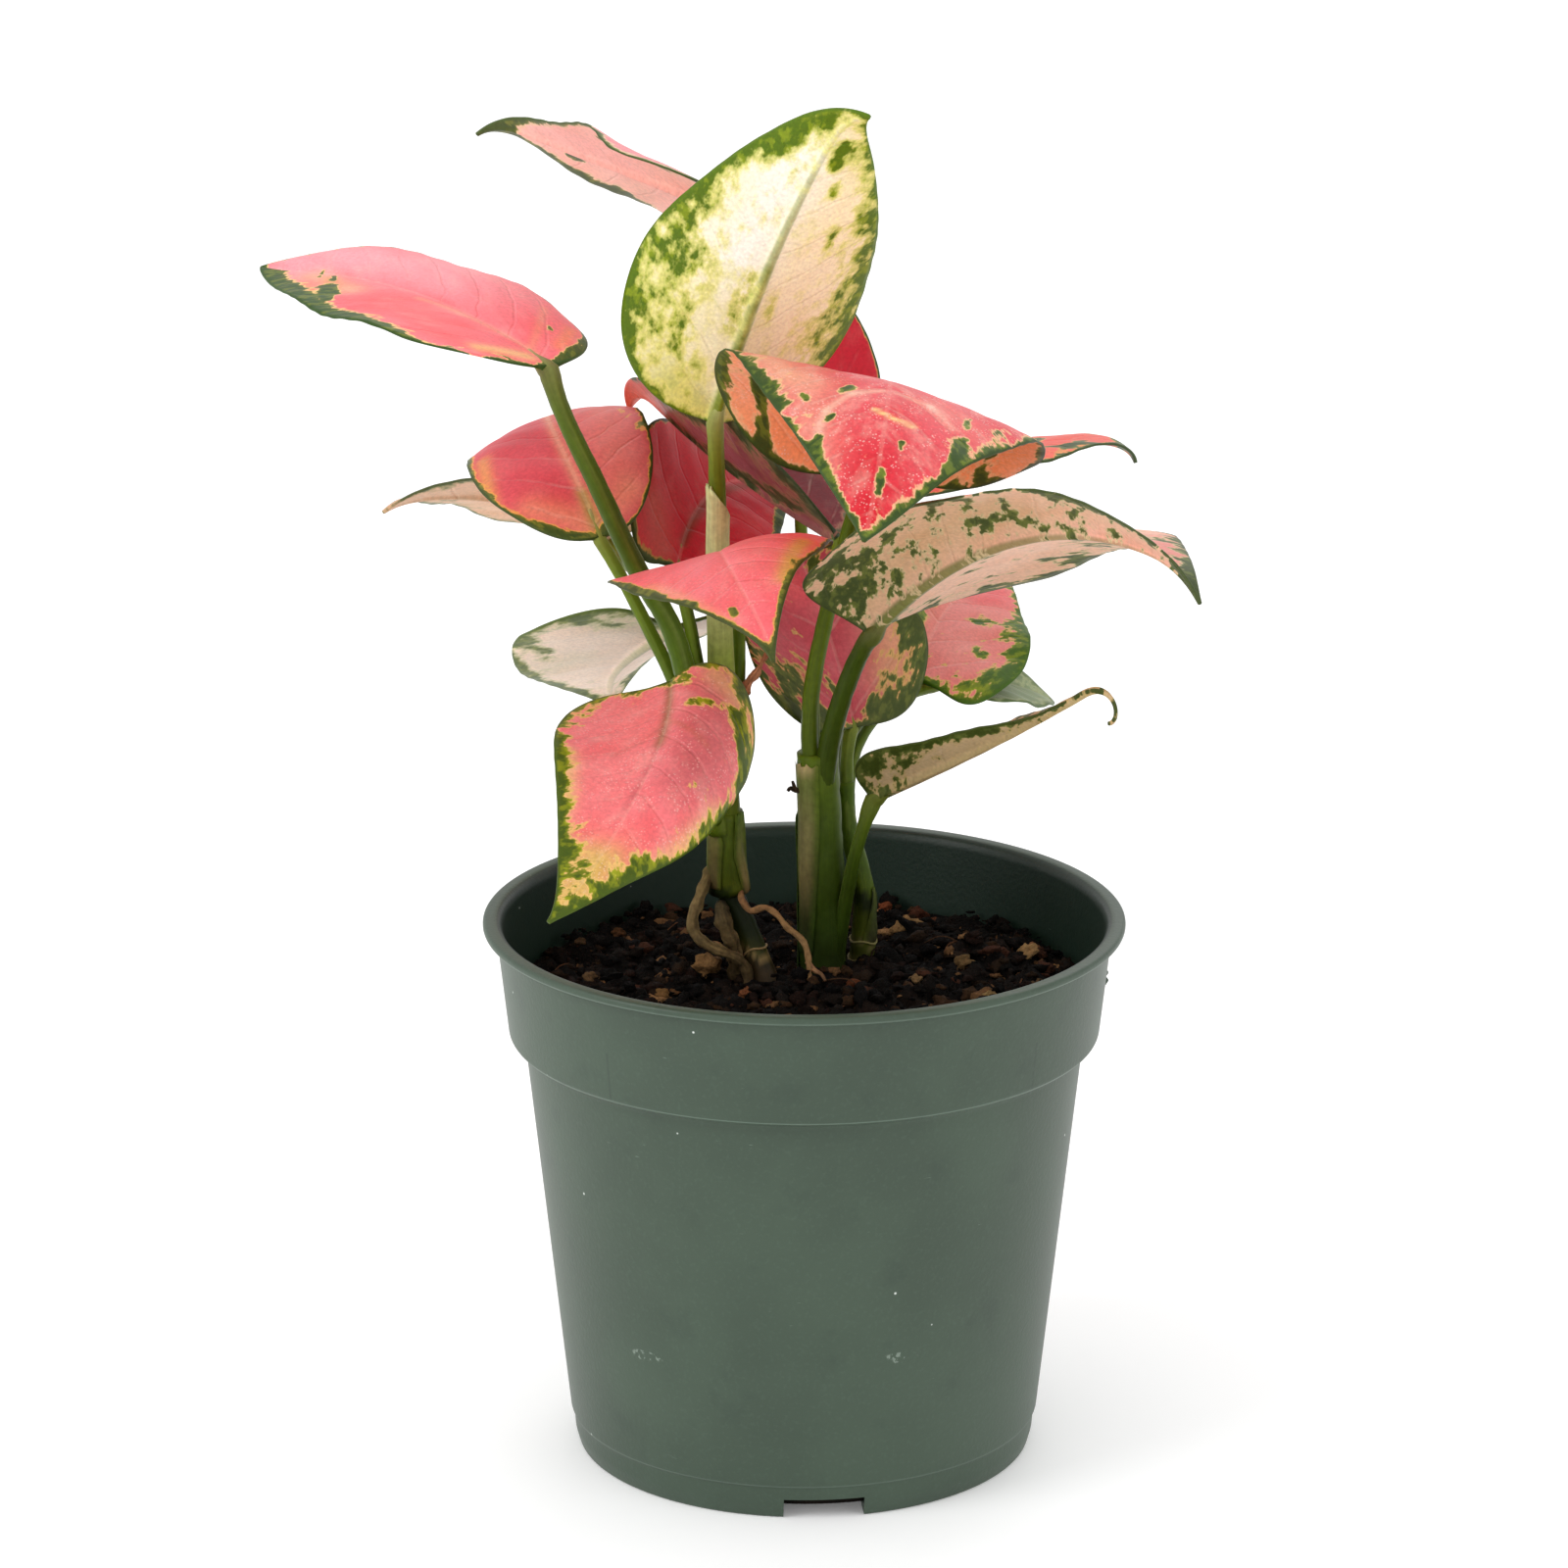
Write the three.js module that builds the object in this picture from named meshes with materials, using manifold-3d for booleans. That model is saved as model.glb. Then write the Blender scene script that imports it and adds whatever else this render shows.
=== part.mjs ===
// A potted lady valentine chinese evergreen: a round nursery pot filled with potting mix, three leafy
// shoots with their long leaf stalks, three aerial roots and eighteen leaves. Millimetres, +Z up.
// The pot's axis is the Z axis, its foot stands on z = 0, and -Y is the front.
import * as THREE from "three";
import { mergeVertices } from "three/addons/utils/BufferGeometryUtils.js";
import Module from "manifold-3d";

const wasm = await Module();
wasm.setup();

// Gap that neighbouring pieces keep
const GAP = 0.35;
// Gap from the end of a stalk to the base of its blade
const BLADE_GAP = 0.6;

// Pot
const POT_SIDES = 40;
const FOOT_RADIUS = 38.5;
const SHOULDER_RADIUS = 47.5;
const SHOULDER_HEIGHT = 72.6;
const BAND_RADIUS = 49.8;
const LIP_RADIUS = 54;
const POT_HEIGHT = 93.1;
const WALL = 1.8;
const FLOOR_THICKNESS = 1.6;
const NOTCH_WIDTH = 13.5;
const NOTCH_HEIGHT = 3.5;
const NOTCH_COUNT = 3;
const NOTCH_TURN = 4.9;

// Potting mix
const SOIL_LEVEL = 80.3;
const SOIL_BUMP = 1.1;
const LUMP_COUNT = 16;

// Blades
const BLADE_HALF_THICKNESS = 0.32;
const KEEL_DEPTH = 1.2;
const RIB_HALF_WIDTH = 1.3;
const STATIONS = [0, 0.012, 0.045, 0.1, 0.18, 0.28, 0.4, 0.53, 0.66, 0.78, 0.86, 0.92, 0.96, 1];

// Stalks
const STALK_SIDES = 8;

const rad = THREE.MathUtils.degToRad;
const clamp = THREE.MathUtils.clamp;

// Each leaf starts at base, where its stalk ends. Its midrib sets off at a heading (0 = +X, 90 = away
// from the viewer) and a pitch above the level, and then turns and droops; hook is the extra bend of
// the tip. Roll and twist turn the blade about its midrib. Fold lifts each half off flat at the rib
// and curl bends it on to the margin. Lobe is how far the base reaches back, taper how pointed the
// blade is, wave the swing of its margins. Angles are in degrees, left is seen along the heading.
const LEAVES = {
  leaf_top_back: {
    base: [-11, 22, 208.5], length: 54, width: 41, heading: 135, turn: 27, pitch: 8, droop: -8,
    hook: 55, roll: 38, twist: 10, fold: [6, 7], curl: [-34, -6], lobe: 3, taper: 1.5,
    wave: 0.7, waves: 2.5, phase: 0.3, color: 0xe9b9ac,
  },
  leaf_crown: {
    base: [-15, 4, 177.5], length: 66, width: 42, heading: -42, turn: 2, pitch: 70, droop: 16,
    hook: 53, roll: -30, twist: -10, fold: [4, 8], curl: [24, 11], lobe: 0, taper: 1,
    wave: 0.5, waves: 2.5, phase: 1, color: 0xdfe0b2,
  },
  leaf_upper_left: {
    base: [-41.5, -4.5, 188.5], length: 62, width: 43, heading: 138, turn: 14, pitch: 23, droop: 31,
    hook: -13, roll: 2, twist: -21, fold: [10, 6], curl: [-4, -31], lobe: 0, taper: 0.9,
    wave: 0.6, waves: 2.5, phase: 2, color: 0xe98f8d,
  },
  leaf_left_front: {
    base: [-34, 10, 156], length: 65, width: 32, heading: 121, turn: -46, pitch: 48, droop: 96,
    hook: -3, roll: -9, twist: -12, fold: [-2, 0], curl: [-18, -20], lobe: 0, taper: 0.7,
    wave: 0.5, waves: 2.5, phase: 0.6, color: 0xd9837a,
  },
  leaf_left_back: {
    base: [-21.5, 22, 147.5], length: 53, width: 32, heading: 82, turn: -26, pitch: 33, droop: 64,
    hook: -4, roll: 40, twist: -13, fold: [6, 0], curl: [24, -22], lobe: 6, taper: 0.9,
    wave: 0.5, waves: 2.5, phase: 1.4, color: 0xb23a3a,
  },
  leaf_back: {
    base: [6, 12, 155.5], length: 60, width: 36, heading: 136, turn: -13, pitch: 13, droop: -8,
    hook: 90, roll: 12, twist: 8, fold: [29, 30], curl: [24, 0], lobe: 0, taper: 1,
    wave: 0.5, waves: 2.5, phase: 2.2, color: 0x9c5c58,
  },
  leaf_back_high: {
    base: [0, 58, 159.8], length: 50, width: 37, heading: 115, turn: 3, pitch: 51, droop: 21,
    hook: 0, roll: 2, twist: 0, fold: [8, 8], curl: [0, 0], lobe: 3, taper: 1,
    wave: 0.6, waves: 2.5, phase: 0, color: 0xa02a35,
  },
  leaf_crown_front: {
    base: [11, 3, 168.5], length: 75, width: 56, heading: -76, turn: -30, pitch: 74, droop: 144,
    hook: -40, roll: -17, twist: 7, fold: [-4, -3], curl: [-11, -1], lobe: 3, taper: 1.1,
    wave: 0.6, waves: 2.5, phase: 0.8, color: 0xd65f5c,
  },
  leaf_long_right: {
    base: [11, -4, 143.5], length: 91, width: 51, heading: -42, turn: -20, pitch: 46, droop: 58,
    hook: 30, roll: -13, twist: -12, fold: [23, 36], curl: [-37, -68], lobe: 0, taper: 1.25,
    wave: 0.6, waves: 3, phase: 1.1, color: 0xd3a892,
  },
  leaf_low_right: {
    base: [19.5, 38, 123.5], length: 49, width: 34, heading: 79, turn: -19, pitch: 26, droop: 36,
    hook: -10, roll: 18, twist: 2, fold: [8, 3], curl: [0, -8], lobe: 5, taper: 1.1,
    wave: 0.6, waves: 2.5, phase: 0.4, color: 0xd98a83,
  },
  leaf_low_back: {
    base: [8.5, 20, 120], length: 38, width: 36, heading: 125, turn: -13, pitch: 68, droop: 34,
    hook: 22, roll: 4, twist: -19, fold: [9, 8], curl: [7, -16], lobe: 1, taper: 1,
    wave: 0.5, waves: 2.5, phase: 1.7, color: 0xb9686a,
  },
  leaf_small_front: {
    base: [-13, -1, 154], length: 60, width: 38, heading: -97, turn: 31, pitch: 31, droop: 61,
    hook: 28, roll: 20, twist: 0, fold: [8, 4], curl: [-48, 2], lobe: 3, taper: 1.3,
    wave: 0.5, waves: 2.5, phase: 2.6, color: 0xf07f85,
  },
  leaf_low_front: {
    base: [-22, -11, 137], length: 62, width: 35, heading: -87, turn: -47, pitch: -12, droop: 26,
    hook: -18, roll: 32, twist: -62, fold: [16, 4], curl: [-110, 34], lobe: 3, taper: 1.2,
    wave: 0.4, waves: 2.5, phase: 0.9, color: 0xdf8585,
  },
  leaf_low_left: {
    base: [-22, 23.5, 136.8], length: 57, width: 41, heading: 122, turn: -36, pitch: -28, droop: -2,
    hook: 40, roll: 7, twist: -33, fold: [15, 14], curl: [2, -16], lobe: 5, taper: 1,
    wave: 0.5, waves: 2.5, phase: 1.9, color: 0xd9bfae,
  },
  leaf_far_left: {
    base: [-34, 54, 144.2], length: 47, width: 33, heading: 208, turn: 8, pitch: 36, droop: 42,
    hook: 20, roll: 15, twist: 8, fold: [10, 9], curl: [7, -19], lobe: 1, taper: 1.1,
    wave: 0.5, waves: 2.5, phase: 0.2, color: 0xd8b7a3,
  },
  leaf_far_right: {
    base: [15, 42, 156.5], length: 45, width: 31, heading: 12, turn: -10, pitch: 24, droop: 32,
    hook: 70, roll: -3, twist: -5, fold: [4, 4], curl: [-16, -19], lobe: 3, taper: 1,
    wave: 0.5, waves: 2.5, phase: 1.2, color: 0xd97a66,
  },
  leaf_lowest_right: {
    base: [11.5, 5.5, 112.5], length: 64, width: 19, heading: -36, turn: -13, pitch: 28, droop: -5,
    hook: 200, roll: -9, twist: 47, fold: [6, 36], curl: [1, 10], lobe: 0, taper: 2.2,
    wave: 0.4, waves: 2.5, phase: 0.5, color: 0xc7a288,
  },
  leaf_small_right: {
    base: [22.5, 44, 121], length: 30, width: 22, heading: 41, turn: -1, pitch: -3, droop: 28,
    hook: 5, roll: 11, twist: 10, fold: [12, 7], curl: [4, -2], lobe: 2, taper: 0.9,
    wave: 0.4, waves: 2.5, phase: 1.6, color: 0x8fa58a,
  },
};

// Stalks of each shoot, from the point below the blade down to the foot, with the diameter at both.
// A stalk with a leaf ends at that leaf's base, in line with its midrib.
const SHOOTS = {
  shoot_left: [
    { leaf: "leaf_top_back", top: 1.9, foot: 2.6,
      path: [[-13, 20, 195], [-14.5, 16, 174.5], [-14.5, 14, 163], [-14, 12, 146.5], [-13.5, 10, 127]] },
    { leaf: "leaf_crown", top: 2.3, foot: 5,
      path: [[-14.5, 5, 165.5], [-14.5, 7, 155], [-14, 8, 137.5], [-13.5, 8, 120.5], [-13, 8, 103.5]] },
    { leaf: "leaf_upper_left", top: 2.8, foot: 4.2,
      path: [[-39.6, -4.5, 181.5], [-34, -2.5, 168], [-27.3, 1.5, 152], [-22, 3, 142],
        [-18, 5, 125], [-14, 7, 105.5]] },
    { leaf: "leaf_left_front", top: 2, foot: 2.6,
      path: [[-30.5, 10, 149], [-25.5, 10, 139], [-21.5, 9, 130.5], [-15, 8, 112]] },
    { leaf: "leaf_left_back", top: 2, foot: 2.6,
      path: [[-19.5, 14, 141], [-17, 11, 128], [-14, 10, 112]] },
    { leaf: "leaf_small_front", top: 2, foot: 2.6,
      path: [[-11.5, 14, 144.5], [-11, 14, 132.5], [-12, 12, 119.5], [-12.5, 9, 106.5]] },
    { leaf: "leaf_low_front", top: 2, foot: 2.6,
      path: [[-20, -5, 132], [-17.5, 2, 120.5], [-14.5, 6, 107.5]] },
    { leaf: "leaf_low_left", top: 2, foot: 2.6,
      path: [[-19, 20.5, 130.5], [-16, 15, 120], [-13.5, 10, 108]] },
    { leaf: "leaf_far_left", top: 1.9, foot: 2.6,
      path: [[-31, 38, 144.5], [-27, 26, 144.5], [-22, 14, 140], [-17, 10, 126],
        [-15, 10, 112]] },
    { top: 5.8, foot: 7, path: [[-13.2, 8.2, 109], [-13.2, 8.5, 101.4], [-12.7, 9, 94.5]] },
    { top: 4.6, foot: 4.4,
      path: [[-13, 8.8, 100], [-12.7, 9, 95.2], [-10.5, 8, 89.2], [-8.7, 7, 85], [-6.9, 5.6, 80.8],
        [-5, 4.2, 75], [-4.4, 4, 71]] },
  ],
  shoot_middle: [
    { leaf: "leaf_back", top: 2, foot: 2.8,
      path: [[5.2, 11, 148], [2.9, 11, 138.5], [1.5, 11, 130], [1.5, 10, 115]] },
    { leaf: "leaf_back_high", top: 2, foot: 2.6,
      path: [[-0.5, 50, 153], [-0.4, 45.5, 147.5], [0.6, 38, 139], [1.8, 29, 127], [2.6, 19, 115],
        [2, 11, 104]] },
    { leaf: "leaf_crown_front", top: 2.4, foot: 3,
      path: [[7.8, 8.5, 158.8], [5.8, 9, 150.1], [4, 9, 144.1], [1.9, 8.5, 134.1],
        [1, 8, 127.4], [1, 8, 115]] },
    { leaf: "leaf_long_right", top: 2.8, foot: 3.8,
      path: [[9.6, 0, 139.9], [6.4, 4, 130.2], [4.2, 6.5, 121], [2.9, 8, 110.2]] },
    { leaf: "leaf_lowest_right", top: 2, foot: 2.8,
      path: [[10.6, 4, 108.8], [8.7, 5, 102.5], [7, 6.5, 93.4], [5.7, 7.5, 84.3], [5.2, 8, 77]] },
    { top: 7, foot: 8.2, path: [[2.2, 9, 119], [2.8, 9, 105], [3.1, 9, 92], [3.2, 9, 71]] },
  ],
  shoot_right: [
    { leaf: "leaf_low_back", top: 2, foot: 2.6,
      path: [[7.4, 17, 115], [7.2, 14.5, 110], [7.7, 14, 103]] },
    { leaf: "leaf_low_right", top: 2, foot: 2.6,
      path: [[16.8, 34, 122.3], [11.5, 28, 121], [7.6, 22, 117.6], [7, 17.3, 112.2], [7.5, 14.4, 105]] },
    { leaf: "leaf_far_right", top: 1.9, foot: 2.6,
      path: [[13, 41, 147], [11.8, 39, 139], [10.3, 34, 129], [7.6, 26, 119.3], [7, 18, 112],
        [7.5, 14.4, 104]] },
    { leaf: "leaf_small_right", top: 1.8, foot: 2.4,
      path: [[18.6, 40, 120], [13, 33, 118.8], [9.2, 25.5, 115.4], [7.6, 18.6, 110.8], [7.7, 14.4, 103]] },
    { top: 3, foot: 4.8,
      path: [[7, 14.8, 112], [7.4, 14.5, 104.5], [9.1, 13.8, 98], [10.2, 13, 92], [10.1, 12.8, 84.6],
        [9.7, 12.8, 79], [9.6, 12.8, 71]] },
  ],
};

// Roots that leave the left shoot above the mix and run down into it
const ROOTS = {
  root_grey: { top: 2.1, foot: 1.7, color: 0x978b77,
    path: [[-15.6, 8.6, 99], [-16.5, 7, 97], [-17.9, 5, 93.8], [-18.8, 3.5, 90.3], [-17.8, 2.5, 88.2],
      [-15, 1.8, 86.5], [-11.7, 2.2, 85], [-9.8, 3.5, 82.3], [-9.2, 3.8, 76]] },
  root_peg: { top: 2.8, foot: 2.4, color: 0x8f8270,
    path: [[-14, 6.8, 93.2], [-13.8, 5, 91.2], [-13, 4.3, 88.8], [-12, 5, 86], [-11.6, 6.5, 77]] },
  root_brown: { top: 1.4, foot: 1.1, color: 0xa9764f,
    path: [[-10.5, 7, 95.3], [-10.5, 4.5, 94.3], [-9, 3.6, 92.7], [-6.5, 3, 93.4], [-4.5, 2.5, 92.2],
      [-2.9, 2.2, 90.2], [-0.4, 1.8, 88.2], [0.6, 1.4, 85.6], [0.8, 0, 82.6], [1, -1.5, 76]] },
};

// Sets a position array and a triangle list up as an indexed geometry
function meshGeometry(points, faces) {
  const geometry = new THREE.BufferGeometry();
  const coordinates = points.flatMap((p) => p.toArray());
  geometry.setAttribute("position", new THREE.Float32BufferAttribute(coordinates, 3));
  geometry.setIndex(faces.flat());
  return geometry;
}

// Closed geometry to solid: shared vertices merged and faces with no area left out
function toSolid(source) {
  const plain = source.clone();
  plain.deleteAttribute("normal");
  plain.deleteAttribute("uv");
  const merged = mergeVertices(plain, 1e-4);
  const index = merged.index.array;
  const triVerts = [];
  for (let i = 0; i < index.length; i += 3) {
    const [a, b, c] = [index[i], index[i + 1], index[i + 2]];
    if (a !== b && b !== c && c !== a) triVerts.push(a, b, c);
  }
  return new wasm.Manifold(new wasm.Mesh({
    numProp: 3,
    vertProperties: new Float32Array(merged.attributes.position.array),
    triVerts: new Uint32Array(triVerts),
  }));
}

function fromSolid(solid) {
  const mesh = solid.getMesh();
  const geometry = new THREE.BufferGeometry();
  const points = [];
  for (let i = 0; i < mesh.vertProperties.length; i += mesh.numProp) {
    points.push(mesh.vertProperties[i], mesh.vertProperties[i + 1], mesh.vertProperties[i + 2]);
  }
  geometry.setAttribute("position", new THREE.Float32BufferAttribute(points, 3));
  geometry.setIndex([...mesh.triVerts]);
  return geometry;
}

function joined(solids) {
  return solids.reduce((all, next) => all.add(next));
}

// The biggest body of a solid: loose scraps are dropped
function mainBody(solid) {
  return solid.decompose().sort((a, b) => b.volume() - a.volume())[0];
}

// A lathe turned on the Z axis
function lathe(profile, sides) {
  const points = profile.map(([r, z]) => new THREE.Vector2(r, z));
  return new THREE.LatheGeometry(points, sides).rotateX(Math.PI / 2);
}

// Repeatable random numbers from 0 to 1
function randomFrom(seed) {
  let state = seed;
  return () => {
    state = (state * 16807) % 2147483647;
    return state / 2147483647;
  };
}

// Midrib direction, sideways and upward directions at t, from 0 at the base to 1 at the tip
function bladeFrame(leaf, t) {
  const hook = clamp((t - 0.8) / 0.2, 0, 1) ** 2;
  const pitch = rad(leaf.pitch - leaf.droop * t - leaf.hook * hook);
  const heading = rad(leaf.heading + leaf.turn * t);
  const roll = rad(leaf.roll + leaf.twist * t);
  const along = new THREE.Vector3(
    Math.cos(pitch) * Math.cos(heading), Math.cos(pitch) * Math.sin(heading), Math.sin(pitch));
  const level = new THREE.Vector3(-Math.sin(heading), Math.cos(heading), 0);
  const side = level.applyAxisAngle(along, roll);
  const up = new THREE.Vector3().crossVectors(along, side);
  return { along, side, up };
}

function midribPoint(leaf, t) {
  const steps = 24;
  const point = new THREE.Vector3(...leaf.base);
  for (let i = 0; i < steps; i += 1) {
    const { along } = bladeFrame(leaf, (t * (i + 0.5)) / steps);
    point.addScaledVector(along, (leaf.length * t) / steps);
  }
  return point;
}

// Half the blade's width at t: widest below the middle, a short neck at the stalk, a narrow tip
function halfWidth(leaf, t) {
  return planScale(leaf) * t ** 0.5 * (1 - t) ** leaf.taper + 1.2 * (1 - t) ** 12 + 0.5 * t ** 10;
}

function planScale(leaf) {
  const widest = 0.5 / (0.5 + leaf.taper);
  return leaf.width / (2 * widest ** 0.5 * (1 - widest) ** leaf.taper);
}

// The blade's middle sheet: its point and normal, where v runs from -1 at the right margin to 1 at the
// left margin
function sheetAt(leaf, t, v) {
  const { along, side, up } = bladeFrame(leaf, t);
  const which = v > 0 ? 0 : 1;
  const sign = Math.sign(v);
  const reach = Math.abs(v) * halfWidth(leaf, t);
  const bend = (rad(leaf.curl[which]) * reach) / leaf.width;
  const chord = Math.abs(bend) < 1e-6 ? reach : (reach * Math.sin(bend)) / bend;
  const slope = rad(leaf.fold[which]) + bend;
  const spread = halfWidth(leaf, t) / planScale(leaf);
  const lobe = leaf.lobe * v * v * (spread ** 2 / 0.07) * Math.exp(1 - t / 0.07);
  const swing = Math.sin(2 * Math.PI * leaf.waves * t + leaf.phase);
  const ripple = leaf.wave * v * v * Math.sin(Math.PI * t) * swing;
  const point = midribPoint(leaf, t)
    .addScaledVector(side, sign * chord * Math.cos(slope))
    .addScaledVector(up, chord * Math.sin(slope) + ripple)
    .addScaledVector(along, -lobe);
  const normal = up.clone().multiplyScalar(Math.cos(slope + bend))
    .addScaledVector(side, -sign * Math.sin(slope + bend));
  return { point, normal };
}

// A thin blade with a keel under its rib: both faces are split into triangles alike
function bladeGeometry(leaf) {
  const rows = STATIONS.map((t) => {
    const rib = Math.min(0.5, RIB_HALF_WIDTH / halfWidth(leaf, t));
    const mid = (1 + rib) / 2;
    return [-1, -mid, -rib, 0, rib, mid, 1].map((v) => {
      const { point, normal } = sheetAt(leaf, t, v);
      const keel = v === 0 ? KEEL_DEPTH * (1 - t) ** 0.7 : 0;
      return [
        point.clone().addScaledVector(normal, BLADE_HALF_THICKNESS),
        point.clone().addScaledVector(normal, -BLADE_HALF_THICKNESS - keel),
      ];
    });
  });
  const wide = rows[0].length;
  const points = rows.flat(2);
  const id = (i, j, face) => 2 * (i * wide + j) + face;
  const faces = [];
  const quad = (a, b, c, d) => faces.push([a, b, c], [a, c, d]);
  for (let i = 0; i + 1 < rows.length; i += 1) {
    for (let j = 0; j + 1 < wide; j += 1) {
      const [a, b, c, d] = [[i, j], [i + 1, j], [i + 1, j + 1], [i, j + 1]];
      const halves = 2 * j + 1 < wide - 1 ? [[a, b, c], [a, c, d]] : [[a, b, d], [b, c, d]];
      for (const [p, q, r] of halves) {
        faces.push([id(...p, 0), id(...q, 0), id(...r, 0)], [id(...p, 1), id(...r, 1), id(...q, 1)]);
      }
    }
    quad(id(i, 0, 0), id(i, 0, 1), id(i + 1, 0, 1), id(i + 1, 0, 0));
    quad(id(i, wide - 1, 0), id(i + 1, wide - 1, 0), id(i + 1, wide - 1, 1), id(i, wide - 1, 1));
  }
  const end = rows.length - 1;
  for (let j = 0; j + 1 < wide; j += 1) {
    quad(id(0, j, 0), id(0, j + 1, 0), id(0, j + 1, 1), id(0, j, 1));
    quad(id(end, j, 0), id(end, j, 1), id(end, j + 1, 1), id(end, j + 1, 0));
  }
  return meshGeometry(points, faces);
}

// The line of a stalk, from below its blade to its foot
function stalkLine(stalk) {
  const line = stalk.path.map((p) => new THREE.Vector3(...p));
  if (stalk.leaf) {
    const leaf = LEAVES[stalk.leaf];
    const base = new THREE.Vector3(...leaf.base);
    const { along, up } = bladeFrame(leaf, 0);
    const low = base.clone().addScaledVector(up, -KEEL_DEPTH / 3);
    line.unshift(low.clone().addScaledVector(along, -BLADE_GAP), low.clone().addScaledVector(along, -2.4));
  }
  return new THREE.CatmullRomCurve3(line, false, "centripetal");
}

// A round tube along a curve, with its radius going evenly from one end to the other. With extra it is
// that much fatter all round and longer at its foot: the plain hole that the tube stands in.
function tubeGeometry(curve, fromRadius, toRadius, sides, extra) {
  const steps = Math.max(4, Math.round(curve.getLength() / Math.max(4.5, 4.5 * fromRadius)));
  const frames = curve.computeFrenetFrames(steps, false);
  const rings = [];
  for (let i = 0; i <= steps; i += 1) {
    const radius = THREE.MathUtils.lerp(fromRadius, toRadius, i / steps) + extra;
    rings.push({ centre: curve.getPointAt(i / steps), radius, frame: i });
  }
  if (extra > 0) {
    const centre = curve.getPointAt(1).addScaledVector(frames.tangents[steps], extra);
    rings.push({ ...rings[steps], centre });
  }
  const points = rings.flatMap(({ centre, radius, frame }) => (
    Array.from({ length: sides }, (_, k) => {
      const angle = (2 * Math.PI * k) / sides;
      return centre.clone()
        .addScaledVector(frames.normals[frame], radius * Math.cos(angle))
        .addScaledVector(frames.binormals[frame], radius * Math.sin(angle));
    })
  ));
  const faces = [];
  const last = (rings.length - 1) * sides;
  for (let k = 0; k < sides; k += 1) {
    const next = (k + 1) % sides;
    for (let a = 0; a < last; a += sides) {
      faces.push([a + k, a + next, a + sides + next], [a + k, a + sides + next, a + sides + k]);
    }
  }
  for (let k = 1; k + 1 < sides; k += 1) {
    faces.push([0, k + 1, k], [last, last + k, last + k + 1]);
  }
  return meshGeometry(points, faces);
}

function stalkSolid(stalk, extra = 0) {
  return toSolid(tubeGeometry(stalkLine(stalk), stalk.top / 2, stalk.foot / 2, STALK_SIDES, extra));
}

// The pot: one turned shell with a plain floor, a shoulder, a straight band and a rolled lip, and
// drain notches cut through the corner of the foot
function potSolid() {
  const outside = [
    [0, 0], [FOOT_RADIUS, 0], [FOOT_RADIUS + 0.7, 2.5], [FOOT_RADIUS + 0.9, 5.6],
    [FOOT_RADIUS + 1.4, 6.1],
    [SHOULDER_RADIUS - 0.4, SHOULDER_HEIGHT - 1], [SHOULDER_RADIUS, SHOULDER_HEIGHT],
    [BAND_RADIUS - 0.6, SHOULDER_HEIGHT + 0.4], [BAND_RADIUS, SHOULDER_HEIGHT + 1],
    [BAND_RADIUS + 2, POT_HEIGHT - 1.7],
    [LIP_RADIUS - 0.4, POT_HEIGHT - 1.5], [LIP_RADIUS, POT_HEIGHT - 1.1],
    [LIP_RADIUS, POT_HEIGHT - 0.4], [LIP_RADIUS - 0.4, POT_HEIGHT],
  ];
  const inside = [
    [BAND_RADIUS + 2.2, POT_HEIGHT], [BAND_RADIUS + 1.3, POT_HEIGHT - 0.4],
    [BAND_RADIUS + 0.8, POT_HEIGHT - 1.5],
    [BAND_RADIUS - 1.1, SHOULDER_HEIGHT + WALL], [BAND_RADIUS - 1.5, SHOULDER_HEIGHT + 1],
    [SHOULDER_RADIUS - 1.4, SHOULDER_HEIGHT - 0.2],
    [FOOT_RADIUS - 0.3, FLOOR_THICKNESS + 0.8], [FOOT_RADIUS - 1.1, FLOOR_THICKNESS],
    [0, FLOOR_THICKNESS],
  ];
  let pot = toSolid(lathe([...outside, ...inside], POT_SIDES));
  for (let i = 0; i < NOTCH_COUNT; i += 1) {
    const notch = new THREE.BoxGeometry(20, NOTCH_WIDTH, 2 * NOTCH_HEIGHT)
      .translate(FOOT_RADIUS + 1, 0, 0)
      .rotateZ(rad(NOTCH_TURN - 90 + (360 * i) / NOTCH_COUNT));
    pot = pot.subtract(toSolid(notch));
  }
  return pot;
}

// Height of the mix's loose top at x, y: a rough surface with one heap behind the right shoot
function soilTop(x, y) {
  const rough = Math.sin(0.31 * x + 1.3) * Math.cos(0.27 * y - 0.4)
    + 0.6 * Math.sin(0.55 * x - 0.62 * y + 2.1) + 0.35 * Math.cos(0.9 * x + 0.8 * y);
  const heap = 2 * Math.exp(-((x - 27) ** 2 + (y - 16) ** 2) / 90);
  return SOIL_LEVEL + SOIL_BUMP * rough + heap;
}

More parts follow.
